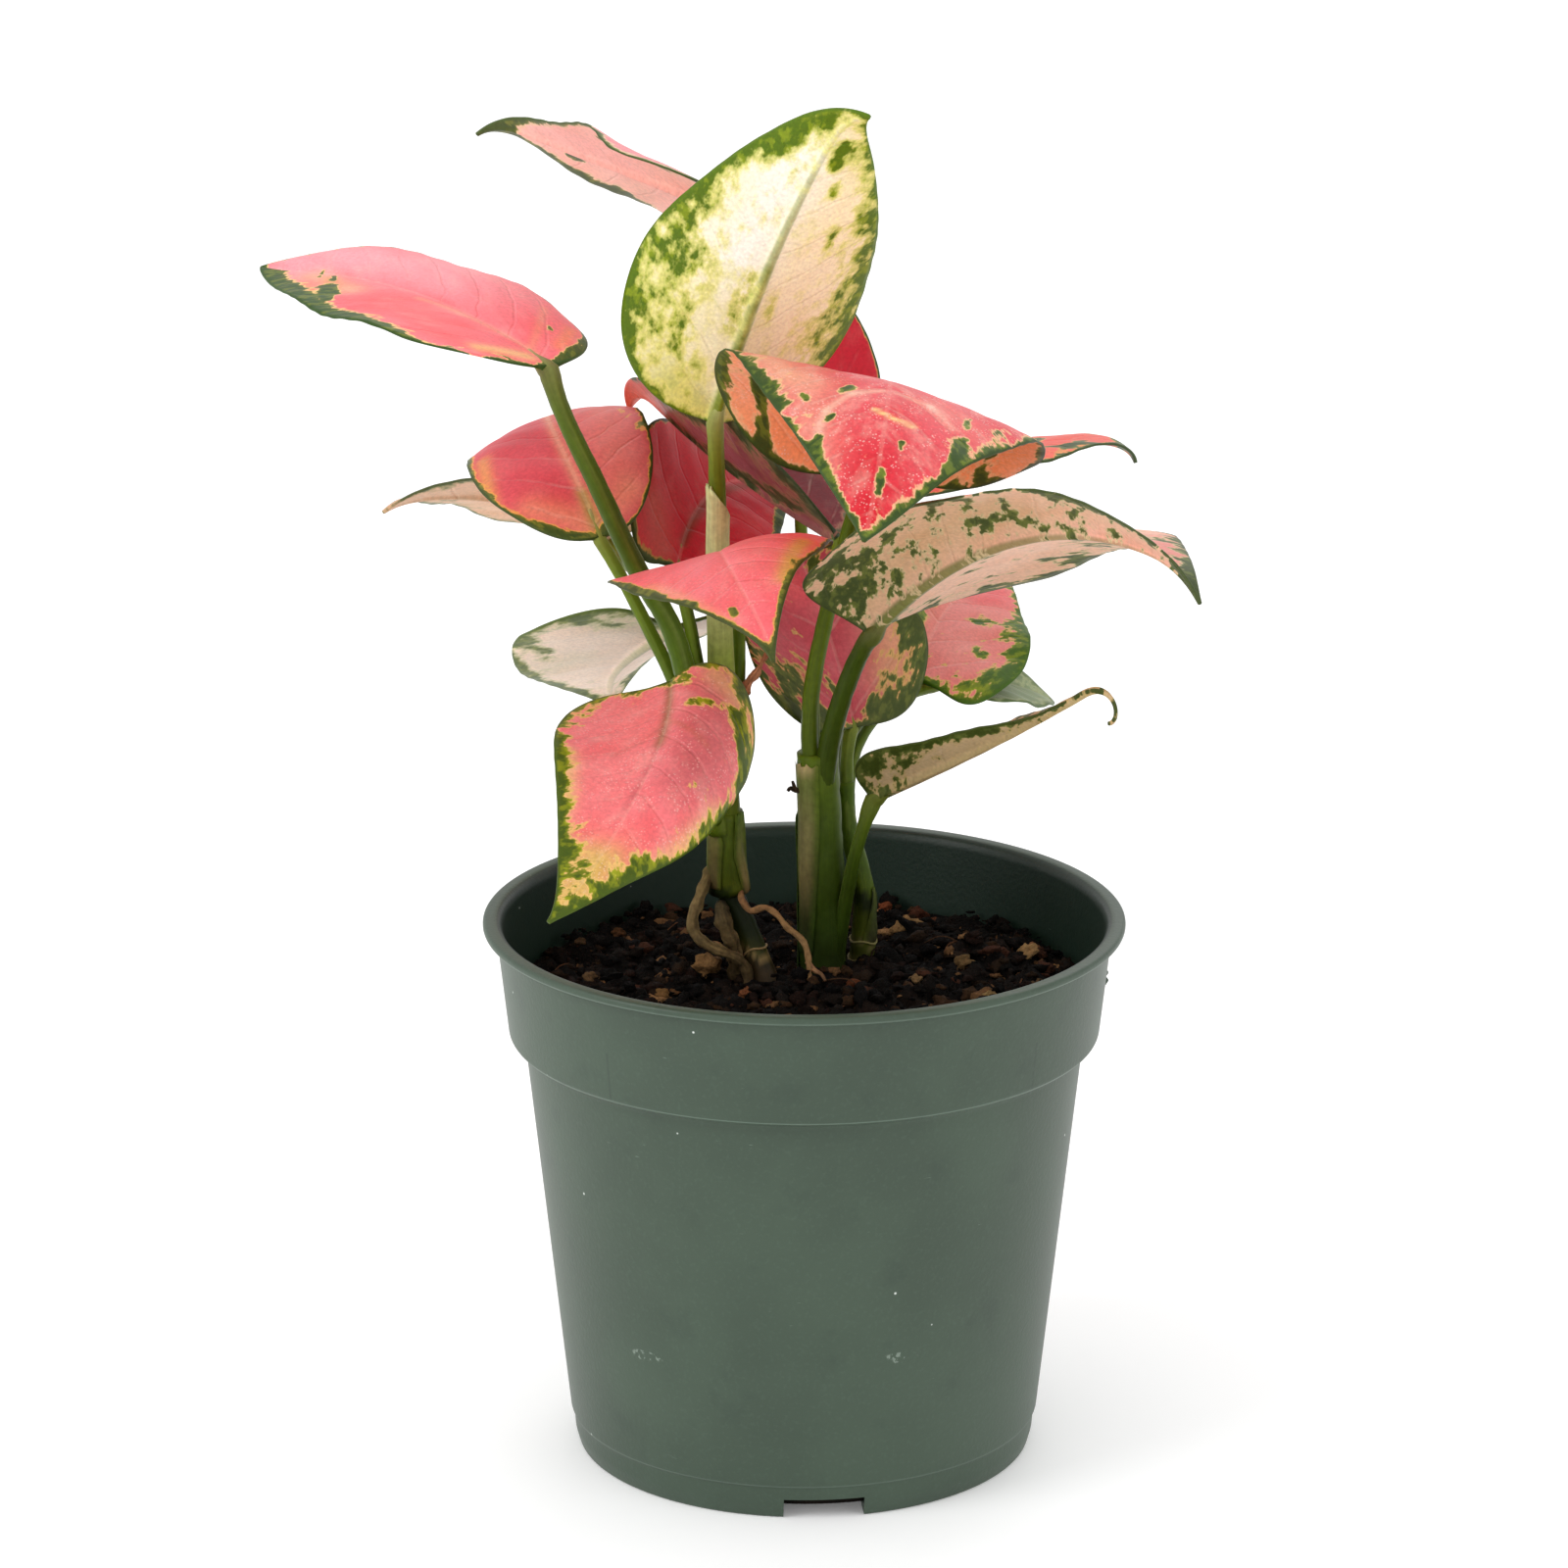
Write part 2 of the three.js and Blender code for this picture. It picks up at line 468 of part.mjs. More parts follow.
// Potting mix that fills the pot, with bits of bark and grit fused into its top and a plain hole for
// each stalk and root
function soilSolid() {
  const rings = [43, 36, 29, 22.5, 16, 9.5, 4];
  const rim = BAND_RADIUS - 1;
  const profile = [
    [0, FLOOR_THICKNESS + 0.4], [FOOT_RADIUS - 1.2, FLOOR_THICKNESS + 0.4],
    [SHOULDER_RADIUS - 1.8, SHOULDER_HEIGHT], [BAND_RADIUS - 1.9, SHOULDER_HEIGHT + 1.3],
    [BAND_RADIUS - 1.5, SHOULDER_HEIGHT + WALL + 0.1], [rim, SOIL_LEVEL],
    ...rings.map((r) => [r, SOIL_LEVEL]), [0, SOIL_LEVEL],
  ];
  const geometry = lathe(profile, POT_SIDES);
  const position = geometry.attributes.position;
  for (let i = 0; i < position.count; i += 1) {
    if (Math.abs(position.getZ(i) - SOIL_LEVEL) < 0.01) {
      const [x, y] = [position.getX(i), position.getY(i)];
      const settled = Math.hypot(x, y) > rim - 0.1 ? SOIL_LEVEL - 1 : soilTop(x, y);
      position.setZ(i, settled);
    }
  }
  let soil = toSolid(geometry);
  const random = randomFrom(41);
  for (let i = 0; i < LUMP_COUNT; i += 1) {
    const angle = 2 * Math.PI * ((i * 0.382 + 0.1 * random()) % 1);
    const distance = 20 + 23 * Math.sqrt(random());
    const size = 1.7 + 1.5 * random();
    const [x, y] = [distance * Math.cos(angle), distance * Math.sin(angle)];
    const lump = new THREE.IcosahedronGeometry(size, 0)
      .scale(1.3, 0.95, 0.75)
      .rotateZ(6 * random())
      .translate(x, y, soilTop(x, y) + 0.25 * size);
    soil = soil.add(toSolid(lump));
  }
  const stalks = [...Object.values(SHOOTS).flat(), ...Object.values(ROOTS)];
  for (const stalk of stalks.filter(({ path }) => path.at(-1)[2] < SOIL_LEVEL)) {
    soil = soil.subtract(stalkSolid(stalk, GAP));
  }
  return mainBody(soil);
}

function shootSolid(name) {
  return joined(SHOOTS[name].map((stalk) => stalkSolid(stalk)));
}

// A root ends a small gap short of the stalks that it leaves
function rootSolid(root) {
  const stalks = [...SHOOTS.shoot_left.slice(-2), ...SHOOTS.shoot_middle.slice(-1)];
  return mainBody(stalks.reduce(
    (rest, stalk) => rest.subtract(stalkSolid(stalk, GAP)), stalkSolid(root)));
}

function piece(name, geometry, color, roughness) {
  const shape = geometry.index ? geometry.toNonIndexed() : geometry;
  shape.computeVertexNormals();
  const material = new THREE.MeshStandardMaterial({ color, roughness, metalness: 0 });
  const mesh = new THREE.Mesh(shape, material);
  mesh.name = name;
  return mesh;
}

const plant = new THREE.Group();
plant.add(
  piece("pot", fromSolid(potSolid()), 0x4f6353, 0.5),
  piece("potting_mix", fromSolid(soilSolid()), 0x2e221b, 0.95),
);
for (const name of Object.keys(SHOOTS)) {
  plant.add(piece(name, fromSolid(shootSolid(name)), 0x6f8a45, 0.5));
}
for (const [name, root] of Object.entries(ROOTS)) {
  plant.add(piece(name, fromSolid(rootSolid(root)), root.color, 0.85));
}
for (const [name, leaf] of Object.entries(LEAVES)) {
  plant.add(piece(name, bladeGeometry(leaf), leaf.color, 0.4));
}

export default plant;
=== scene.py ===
# A potted lady valentine chinese evergreen. The leaves, stalks, roots, mix and pot are rebuilt finely
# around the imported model, from the same named shapes. Shapes are worked out in millimetres.
import math

import bmesh
import bpy
import numpy as np
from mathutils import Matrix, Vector, noise


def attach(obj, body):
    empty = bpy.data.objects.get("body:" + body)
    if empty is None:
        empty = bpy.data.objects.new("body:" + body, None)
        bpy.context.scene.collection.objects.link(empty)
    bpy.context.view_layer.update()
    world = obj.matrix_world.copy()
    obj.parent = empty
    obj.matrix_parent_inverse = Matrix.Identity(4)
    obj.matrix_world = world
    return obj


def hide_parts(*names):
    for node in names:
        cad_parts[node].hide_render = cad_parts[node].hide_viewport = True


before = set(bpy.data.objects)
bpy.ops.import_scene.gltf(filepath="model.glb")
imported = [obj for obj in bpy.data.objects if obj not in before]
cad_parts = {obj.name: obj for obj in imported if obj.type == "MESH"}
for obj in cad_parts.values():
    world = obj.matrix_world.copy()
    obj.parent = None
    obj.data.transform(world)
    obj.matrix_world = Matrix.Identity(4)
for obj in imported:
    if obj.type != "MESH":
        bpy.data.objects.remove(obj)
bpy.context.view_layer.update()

MM = 0.001

# Pot
FOOT_RADIUS = 38.5
SHOULDER_RADIUS = 47.5
SHOULDER_HEIGHT = 72.6
BAND_RADIUS = 49.8
LIP_RADIUS = 54
POT_HEIGHT = 93.1
WALL = 1.8
FLOOR_THICKNESS = 1.6
NOTCH_WIDTH = 13.5
NOTCH_HEIGHT = 3.5
NOTCH_COUNT = 3
NOTCH_TURN = 4.9
CORNER_CUT = 0.5
POT_SIDES = 192

# Potting mix
SOIL_LEVEL = 80.3
SOIL_BUMP = 1.1
MIX_RADIUS = BAND_RADIUS - 1
MIX_SIDES = 168
MIX_RINGS = 62
MIX_SEED = 41
CRUMBS = 4600
FIBRES = 20

# Blades and stalks
HALF_THICKNESS = 0.32
EDGE_THICKNESS = 0.1
KEEL_DEPTH = 1.2
GROOVE_DEPTH = 0.13
BLADE_ROWS = 120
BLADE_COLUMNS = 61
VEIN_SPACING = 7.8
STALK_SIDES = 20
STALK_POINTS = 300
BEND_LENGTH = 13
RIB_LENGTH = 5.5
SHEATH_ROWS = 28
SHEATH_COLUMNS = 17
ROOT_ROWS = 90
ROOT_SIDES = 16
STALK_STEP = 1.1
STALK_ROUGHNESS = 0.05
CHANNEL_DEPTH = 0.13
WRAP_POINTS = 400
FRONT = (0.3, -1, 0.2)

# Camera in millimetres and degrees
CAMERA_PLACE = (-3.39, -1061, 436)
CAMERA_PITCH = 16.78
LENS = 152.3
SENSOR_WIDTH = 36

# Each leaf starts at base. Its midrib sets off at a heading and a pitch, then turns and droops, and hook
# bends its tip. Roll and twist turn the blade about the midrib, fold lifts each half (left, right) off
# flat and curl bends it on to the margin. Lobe carries the base back, taper sets how far out the blade is
# widest, and wave, waves and phase ripple the margin. Angles are in degrees.
LEAF_VALUES = ("base length width heading turn pitch droop hook roll twist fold curl lobe taper wave waves"
               " phase").split()
LEAVES = {name: dict(zip(LEAF_VALUES, values)) for name, *values in (
    ("leaf_top_back", (-11, 22, 208.5), 54, 41, 135, 27, 8, -8, 55, 38, 10, (6, 7), (-34, -6), 3, 1.5, 0.7,
        2.5, 0.3),
    ("leaf_crown", (-15, 4, 177.5), 66, 42, -42, 2, 70, 16, 53, -30, -10, (4, 8), (24, 11), 0, 1, 0.5, 2.5,
        1),
    ("leaf_upper_left", (-41.5, -4.5, 188.5), 62, 43, 138, 14, 23, 31, -13, 2, -21, (10, 6), (-4, -31), 0,
        0.9, 0.6, 2.5, 2),
    ("leaf_left_front", (-34, 10, 156), 65, 32, 121, -46, 48, 96, -3, -9, -12, (-2, 0), (-18, -20), 0, 0.7,
        0.5, 2.5, 0.6),
    ("leaf_left_back", (-21.5, 22, 147.5), 53, 32, 82, -26, 33, 64, -4, 40, -13, (6, 0), (24, -22), 6, 0.9,
        0.5, 2.5, 1.4),
    ("leaf_back", (6, 12, 155.5), 60, 36, 136, -13, 13, -8, 90, 12, 8, (29, 30), (24, 0), 0, 1, 0.5, 2.5,
        2.2),
    ("leaf_back_high", (0, 58, 159.8), 50, 37, 115, 3, 51, 21, 0, 2, 0, (8, 8), (0, 0), 3, 1, 0.6, 2.5, 0),
    ("leaf_crown_front", (11, 3, 168.5), 75, 56, -76, -30, 74, 144, -40, -17, 7, (-4, -3), (-11, -1), 3,
        1.1, 0.6, 2.5, 0.8),
    ("leaf_long_right", (11, -4, 143.5), 91, 51, -42, -20, 46, 58, 30, -13, -12, (23, 36), (-37, -68), 0,
        1.25, 0.6, 3, 1.1),
    ("leaf_low_right", (19.5, 38, 123.5), 49, 34, 79, -19, 26, 36, -10, 18, 2, (8, 3), (0, -8), 5, 1.1, 0.6,
        2.5, 0.4),
    ("leaf_low_back", (8.5, 20, 120), 38, 36, 125, -13, 68, 34, 22, 4, -19, (9, 8), (7, -16), 1, 1, 0.5,
        2.5, 1.7),
    ("leaf_small_front", (-13, -1, 154), 60, 38, -97, 31, 31, 61, 28, 20, 0, (8, 4), (-48, 2), 3, 1.3, 0.5,
        2.5, 2.6),
    ("leaf_low_front", (-22, -11, 137), 62, 35, -87, -47, -12, 26, -18, 32, -62, (16, 4), (-110, 34), 3,
        1.2, 0.4, 2.5, 0.9),
    ("leaf_low_left", (-22, 23.5, 136.8), 57, 41, 122, -36, -28, -2, 40, 7, -33, (15, 14), (2, -16), 5, 1,
        0.5, 2.5, 1.9),
    ("leaf_far_left", (-34, 54, 144.2), 47, 33, 208, 8, 36, 42, 20, 15, 8, (10, 9), (7, -19), 1, 1.1, 0.5,
        2.5, 0.2),
    ("leaf_far_right", (15, 42, 156.5), 45, 31, 12, -10, 24, 32, 70, -3, -5, (4, 4), (-16, -19), 3, 1, 0.5,
        2.5, 1.2),
    ("leaf_lowest_right", (11.5, 5.5, 112.5), 64, 19, -36, -13, 28, -5, 200, -9, 47, (6, 36), (1, 10), 0,
        2.2, 0.4, 2.5, 0.5),
    ("leaf_small_right", (22.5, 44, 121), 30, 22, 41, -1, -3, 28, 5, 11, 10, (12, 7), (4, -2), 2, 0.9, 0.4,
        2.5, 1.6),
)}

# The stalks of each shoot, then its cane: the leaf it carries, its thickness at the top and at the foot, and
# its path from the top down
SHOOTS = {
    "shoot_left": (
        ("leaf_top_back", 1.9, 2.6, [(-13, 20, 195), (-14.5, 16, 174.5), (-14.5, 14, 163), (-14, 12, 146.5),
         (-13.5, 10, 127)]),
        ("leaf_crown", 2.3, 5, [(-14.5, 5, 165.5), (-14.5, 7, 155), (-14, 8, 137.5), (-13.5, 8, 120.5),
         (-13, 8, 103.5)]),
        ("leaf_upper_left", 2.8, 4.2, [(-39.6, -4.5, 181.5), (-34, -2.5, 168), (-27.3, 1.5, 152),
         (-22, 3, 142), (-18, 5, 125), (-14, 7, 105.5)]),
        ("leaf_left_front", 2, 2.6, [(-30.5, 10, 149), (-25.5, 10, 139), (-21.5, 9, 130.5), (-15, 8, 112)]),
        ("leaf_left_back", 2, 2.6, [(-19.5, 14, 141), (-17, 11, 128), (-14, 10, 112)]),
        ("leaf_small_front", 2, 2.6, [(-11.5, 14, 144.5), (-11, 14, 132.5), (-12, 12, 119.5),
         (-12.5, 9, 106.5)]),
        ("leaf_low_front", 2, 2.6, [(-20, -5, 132), (-17.5, 2, 120.5), (-14.5, 6, 107.5)]),
        ("leaf_low_left", 2, 2.6, [(-19, 20.5, 130.5), (-16, 15, 120), (-13.5, 10, 108)]),
        ("leaf_far_left", 1.9, 2.6, [(-31, 38, 144.5), (-27, 26, 144.5), (-22, 14, 140), (-17, 10, 126),
         (-15, 10, 112)]),
        (None, 5.8, 7, [(-13.2, 8.2, 109), (-13.2, 8.5, 101.4), (-12.7, 9, 94.5)]),
        (None, 4.6, 4.4, [(-13, 8.8, 100), (-12.7, 9, 95.2), (-10.5, 8, 89.2), (-8.7, 7, 85),
         (-6.9, 5.6, 80.8), (-5, 4.2, 75), (-4.4, 4, 71)]),
    ),
    "shoot_middle": (
        ("leaf_back", 2, 2.8, [(5.2, 11, 148), (2.9, 11, 138.5), (1.5, 11, 130), (1.5, 10, 115)]),
        ("leaf_back_high", 2, 2.6, [(-0.5, 50, 153), (-0.4, 45.5, 147.5), (0.6, 38, 139), (1.8, 29, 127),
         (2.6, 19, 115), (2, 11, 104)]),
        ("leaf_crown_front", 2.4, 3, [(7.8, 8.5, 158.8), (5.8, 9, 150.1), (4, 9, 144.1), (1.9, 8.5, 134.1),
         (1, 8, 127.4), (1, 8, 115)]),
        ("leaf_long_right", 2.8, 3.8, [(9.6, 0, 139.9), (6.4, 4, 130.2), (4.2, 6.5, 121), (2.9, 8, 110.2)]),
        ("leaf_lowest_right", 2, 2.8, [(10.6, 4, 108.8), (8.7, 5, 102.5), (7, 6.5, 93.4), (5.7, 7.5, 84.3),
         (5.2, 8, 77)]),
        (None, 7, 8.2, [(2.2, 9, 119), (2.8, 9, 105), (3.1, 9, 92), (3.2, 9, 71)]),
    ),
    "shoot_right": (
        ("leaf_low_back", 2, 2.6, [(7.4, 17, 115), (7.2, 14.5, 110), (7.7, 14, 103)]),
        ("leaf_low_right", 2, 2.6, [(16.8, 34, 122.3), (11.5, 28, 121), (7.6, 22, 117.6), (7, 17.3, 112.2),
         (7.5, 14.4, 105)]),
        ("leaf_far_right", 1.9, 2.6, [(13, 41, 147), (11.8, 39, 139), (10.3, 34, 129), (7.6, 26, 119.3),
         (7, 18, 112), (7.5, 14.4, 104)]),
        ("leaf_small_right", 1.8, 2.4, [(18.6, 40, 120), (13, 33, 118.8), (9.2, 25.5, 115.4),
         (7.6, 18.6, 110.8), (7.7, 14.4, 103)]),
        (None, 3, 4.8, [(7, 14.8, 112), (7.4, 14.5, 104.5), (9.1, 13.8, 98), (10.2, 13, 92),
         (10.1, 12.8, 84.6), (9.7, 12.8, 79), (9.6, 12.8, 71)]),
    ),
}

# Aerial roots: thickness at the top and at the foot, path, and bark colours along it
ROOTS = {
    "root_grey": (2.1, 1.7, [(-15.6, 8.6, 99), (-16.5, 7, 97), (-17.9, 5, 93.8), (-18.8, 3.5, 90.3),
        (-17.8, 2.5, 88.2), (-15, 1.8, 86.5), (-11.7, 2.2, 85), (-9.8, 3.5, 82.3), (-9.2, 3.8, 76)],
        [(0, "5c4e2c"), (0.25, "705e3c"), (0.6, "665435"), (0.85, "4a3c26"), (1, "241c14")]),
    "root_peg": (2.8, 2.4, [(-14, 6.8, 93.2), (-13.8, 5, 91.2), (-13, 4.3, 88.8), (-12, 5, 86),
        (-11.6, 6.5, 77)], [(0, "352f1e"), (0.3, "5a4a2e"), (0.7, "604e32"), (1, "30261a")]),
    "root_brown": (1.4, 1.1, [(-10.5, 7, 95.3), (-10.5, 4.5, 94.3), (-9, 3.6, 92.7), (-6.5, 3, 93.4),
        (-4.5, 2.5, 92.2), (-2.9, 2.2, 90.2), (-0.4, 1.8, 88.2), (0.6, 1.4, 85.6), (0.8, 0, 82.6),
        (1, -1.5, 76)], [(0, "7a5636"), (0.3, "8e6a44"), (0.6, "9a7850"), (0.85, "7e5e3c"), (1, "402c1c")]),
}

# Looks of each leaf. Its colours are those of the top and under faces, then the fringe, the dark green and
# the lime of the pattern. band is the width of the green margin in millimetres (left, right), mottle how
# strongly it breaks into blotches, reach how far in they go, soft how blurred they are, pale how cloudy the
# body is, veins how much lighter the side veins are, freckle the share of pale dots, size the blotches'
# size, gloss the shine, rib the colour under the midrib and neck how much of the under colour the stalk
# takes on at its top. green and tint are marks on the leaf's flat plan in millimetres: a line from x, y to
# x, y (x to the leaf's own left, y from its base), its reach and its amount. A tint also names a colour, and
# a green mark may name the one face that shows it.
# The under colours are lighter than the undersides' own paler colour: partly painted light, for light that
# shines through the blades.
PLAIN_LOOK = dict(band=(1, 1), mottle=0.5, reach=5, soft=0.1, pale=0.15, veins=0.15, freckle=0, size=1.2,
                  gloss=0.18, green=(), tint=(), rib=None, neck=0.2)

LOOKS = {
    "leaf_top_back": dict(colours="ee8d92 fbc2b0 e6c9a0 49582c 8a8e3c", rib="f0aa9c", band=(0.9, 0.9),
        mottle=0.6, soft=0.2, pale=0.2, green=[(-1, 50, -8, 39, 2, 1.4), (-8, 39, -12, 30, 2, 1.2),
        (-2, 36, -2, 35, 1.3, 1.6), (10, 26, 11.5, 17, 1.5, 0.9), (11, 14, 10, 8, 1.8, 0.85),
        (1, 50, -1, 55, 3, 1.6)], tint=[(4, 40, 4, 24, 7, "f4b8b2", 0.7),
        (-4, 8, -14, 14, 6, "f08f92", 0.6), (-6, 24, -13, 26, 3, "dba383", 0.4)]),
    "leaf_crown": dict(colours="efbfa6 fbf2cc e2de7c 547000 9cac1c", rib="6c7c04", neck=0.4,
        band=(1.3, 1.2), mottle=0.85, reach=16, soft=0.95, veins=0.1, size=1.15, gloss=0.26,
        green=[(18.5, 8, 17.5, 30, 3, 0.9), (16, 33, 12, 44, 2.4, 0.6), (-18.5, 8, -17, 26, 3.6, 0.8),
        (-15.5, 30, -14, 46, 3, 0.8), (-8, 51, -3, 59, 2.2, 1.5), (2.6, 52, 2.8, 57, 1.2, 1.4),
        (-2.4, 18, -2, 28, 2, 0.6), (5, 47, 5, 48, 1.1, 1.1), (9, 36, 9, 40, 1.2, 0.8),
        (3.5, 20, 3, 24, 1.2, 0.5), (-12, 16, -11, 28, 4, 0.6), (-6, 8, -12, 16, 3.5, 0.5),
        (13, 12, 13, 22, 3, 0.6)], tint=[(10, 12, 8, 45, 9, "fdeec4", 0.9),
        (-5, 30, -4, 50, 6, "fdfbee", 0.9), (-11, 6, -14, 20, 6, "e2e19a", 0.7),
        (0, 0, -8, 5, 4, "bcc250", 0.8), (-9, 40, -12, 30, 3, "faf6dc", 0.7),
        (8, 52, 3, 62, 4, "eedca0", 0.6), (0, 0, 0, 30, 0.9, "8d962c", 0.7),
        (0, 30, 0, 50, 0.7, "c9c878", 0.4)]),
    "leaf_upper_left": dict(colours="f6747c dcae93 ecc77c 36501f 7f8530", neck=0.55, band=(2.2, 0.25),
        reach=6, soft=0, pale=0.3, veins=0.08, size=1.3, gloss=0.16, green=[(2, 61, 10, 50, 1.9, 1.6),
        (10, 50, 17, 40, 1.9, 1.6), (18, 40, 20.5, 28, 2, 1.7), (6.5, 44, 9, 41.5, 1.6, 2),
        (9, 42, 12, 40, 1, 1.4), (1, 46.5, 3, 45.5, 0.6, 1.2), (18, 12, 14, 6, 3, -0.9),
        (12, 6, 4, 1.5, 2.5, -0.9), (16, 9, 8, 3, 0.6, 0.8), (-1, 50, 2, 49, 0.5, 1.1),
        (0, 0, -9, 2.5, 1.2, 1.1), (-9, 2.5, -18, 8, 1, 1.1), (-9, 9, -10, 10, 0.6, 1.1)],
        tint=[(-4, 55, -12, 34, 9, "f9a2aa", 0.9), (-6, 30, -14, 22, 7, "f7949c", 0.7),
        (8, 30, 12, 12, 7, "f5686c", 0.8), (6, 40, 2, 50, 3, "f0b488", 0.6),
        (0, 4, 2, 28, 0.9, "eaa888", 0.5), (0, 5, -16, 16, 0.8, "eda680", 0.4),
        (11, 7, 3, 3, 1.8, "eebf82", 0.8), (-6, 4, -15, 9, 1.4, "f5905f", 0.6),
        (9, 52, 15, 44, 1.2, "dcb04a", 0.8), (8, 52, 3, 58, 1.6, "e6c070", 0.7),
        (8, 48, 13, 42, 1.5, "ee9a68", 0.8), (2, 46.5, 9, 41, 1.2, "d8a060", 0.6)]),
    "leaf_left_front": dict(colours="d2505a dcae93 dfa04c 3c4c1a 85852c", neck=0.4, band=(0.6, 0.45),
        mottle=0.4, pale=0.12, green=[(10, 5, 3, 0, 1.6, 1), (0, 0, -3, 2, 1.6, 0.9),
        (-12, 34, -14, 24, 1.2, 0.5)], tint=[(-8, 12, -11, 50, 6, "de8070", 0.6),
        (6, 30, 4, 55, 6, "c43c48", 0.5), (0, 2, 9, 9, 3, "e69a70", 0.5), (0, 2, -8, 8, 3, "e6936e", 0.5),
        (0, 3, 0, 52, 1, "dda07c", 0.6), (0, 0, 0, 9, 1.2, "9a8a34", 0.7),
        (13, 28, 14.5, 14, 1.4, "dc9a58", 0.8)]),
    "leaf_left_back": dict(colours="cc1526 e0676c b0883c 344016 70762a", band=(0.5, 1), mottle=0.4, veins=0,
        gloss=0.1, green=[(-1, 52, -12, 36, 1.8, 1.3), (-13, 34, -15, 18, 1.4, 0.8)],
        tint=[(8, 8, 11, 20, 5, "d2444a", 0.6), (-4, 28, -8, 44, 4, "a81020", 0.7),
        (0, 6, -2, 40, 1, "7a3a20", 0.7), (10, 34, 4, 45, 4, "a85a50", 0.5),
        (4, 2, 8, 10, 3, "c86a58", 0.5)]),
    "leaf_back": dict(colours="980a1c a2585e a8745c 3c4a2c 6a6f48", band=(3.4, 2.8), mottle=0.8, reach=6,
        soft=0.3, veins=0.2, green=[(10, 50, 14, 30, 2.5, 0.8), (-10, 50, -16, 28, 2, 0.6),
        (0, 51, 0, 60, 5, -2.5), (0.5, 46, 0.8, 30, 2.4, 1.1, "under"),
        (0.8, 30, 4.5, 8, 2.6, 1.1, "under")], tint=[(0, 52, 0, 60, 8, "e2604c", 1),
        (-6, 3, -8, 24, 5.5, "6a0815", 1)]),
    "leaf_back_high": dict(colours="b81628 bc2032 c98a4e 2f4a28 7f8f38", band=(0.4, 0.35), mottle=0.2,
        reach=4, pale=0.1, veins=0.04),
    "leaf_crown_front": dict(colours="e0525a f7a876 eebd8c 374c1c 7c8a2c", band=(0.9, 0.8), mottle=0.65,
        reach=18, soft=0.2, pale=0.75, veins=0.25, freckle=0.4, size=1.5, gloss=0.22,
        green=[(19.5, 40, 16.5, 50, 1.3, 0.8), (13, 50, 11.2, 59, 1.1, 1.8), (10.6, 61, 7, 66, 1, 0.6),
        (13.5, 42, 13, 46, 0.9, 1.5), (-3, 72, -11, 60, 1.3, 1), (-22, 42, -17, 50, 2, 1),
        (-6, 43, -8, 45, 0.9, 1.3), (0.6, 62, 0.6, 65.5, 0.7, 1.6), (3, 55.5, 3, 57, 0.6, 1.2),
        (-10, 57, -10, 59, 0.8, 1.2), (-14, 47, -13, 48.5, 0.7, 1.3), (-8.5, 52, -9, 53, 0.7, 1.2),
        (-26.5, 12, -27.5, 28, 1.8, 0.9), (-18, 6, -22.5, 27, 1.1, 2), (26.5, 12, 28, 27, 1.4, 0.2),
        (18, 6, 21, 24, 0.9, 1.2), (23.5, 8, 24.5, 26, 1.6, -1.2), (-15, 54, -12, 52, 0.7, 1)],
        tint=[(0, 60, 0, 73, 5, "d41f30", 0.9), (3, 44, -4, 56, 4.5, "dd3c48", 0.7),
        (-13, 44, -11, 58, 4.5, "eeae94", 0.45), (-17, 42, -20, 36, 5, "f0bc98", 0.6),
        (8, 41, 15, 46, 4, "ea8478", 0.6), (-1, 42, -6, 45, 0.7, "f5d4b8", 0.5),
        (-6, 45, -9.5, 51, 0.7, "f5d4b8", 0.5), (-9.5, 51, -10.5, 58, 0.7, "f5d4b8", 0.5),
        (1, 41.5, 7, 43, 0.7, "f5d4b8", 0.4), (7, 43, 11, 48, 0.7, "f5d4b8", 0.4),
        (4.6, 50.9, 1.4, 50.4, 0.45, "f7cf86", 0.95), (1.4, 50.4, -2, 48.9, 0.45, "f7cf86", 0.95),
        (14, 46, 16, 40, 3, "e4545a", 0.6), (-22, 14, -24.5, 24, 2.5, "f7ab84", 0.6)]),
    "leaf_long_right": dict(colours="dc8078 e2b494 cdb88c 45502a 767e3c", rib="62702a", band=(1.1, 1),
        mottle=1.5, reach=60, soft=0.25, pale=0.2, veins=0.12, size=1.5, gloss=0.2,
        green=[(-12, 2, -18, 14, 4.5, 1.3), (-14, 16, -13, 40, 2.6, 0.8), (-7, 6, -9, 20, 2.6, 0.7),
        (-20, 20, -17, 48, 2, 0.8), (22, 30, 17, 50, 2, 0.7), (-1, 86, 1, 91, 3, 1.3),
        (13, 28, 12, 33, 1.4, 0.8), (0, 0, 4, 4, 2.4, 1), (5, 32, 6, 44, 4, -0.3),
        (14, 10, 14, 40, 5, -0.4), (-4, 12, -3, 60, 6, 0.35), (-6, 30, -6, 44, 2, 0.4)],
        tint=[(-7, 4, -8, 46, 7, "d0a880", 0.9), (10, 14, 8, 60, 9, "f2c4aa", 0.9),
        (0, 60, 0, 82, 4, "e8a090", 0.6), (3, 40, 8, 56, 4, "f0a890", 0.6)]),
    "leaf_low_right": dict(colours="de807a dcae93 d0b064 3c5c04 8a981c", band=(1, 1.2), mottle=1.1,
        reach=18, soft=0.12, pale=0.2, veins=0.2, size=1.3, green=[(13, 30, 13, 19, 2.2, 0.9),
        (6, 18, 5, 22, 2.4, 0.6), (4, 20, 3, 8, 1.6, 0.8), (-13, 32, -14, 8, 2.8, 0.6),
        (-6, 22, -7, 24, 1.5, 1.4), (-6, 5, -7, 7, 1.4, 1.2), (-16.5, 24, -15, 4, 2.2, 1),
        (-9, 12, -9, 13, 1.3, 1), (-4, 28, -5, 38, 3, -0.6)], tint=[(10, 8, 9, 36, 7, "c88a60", 0.9),
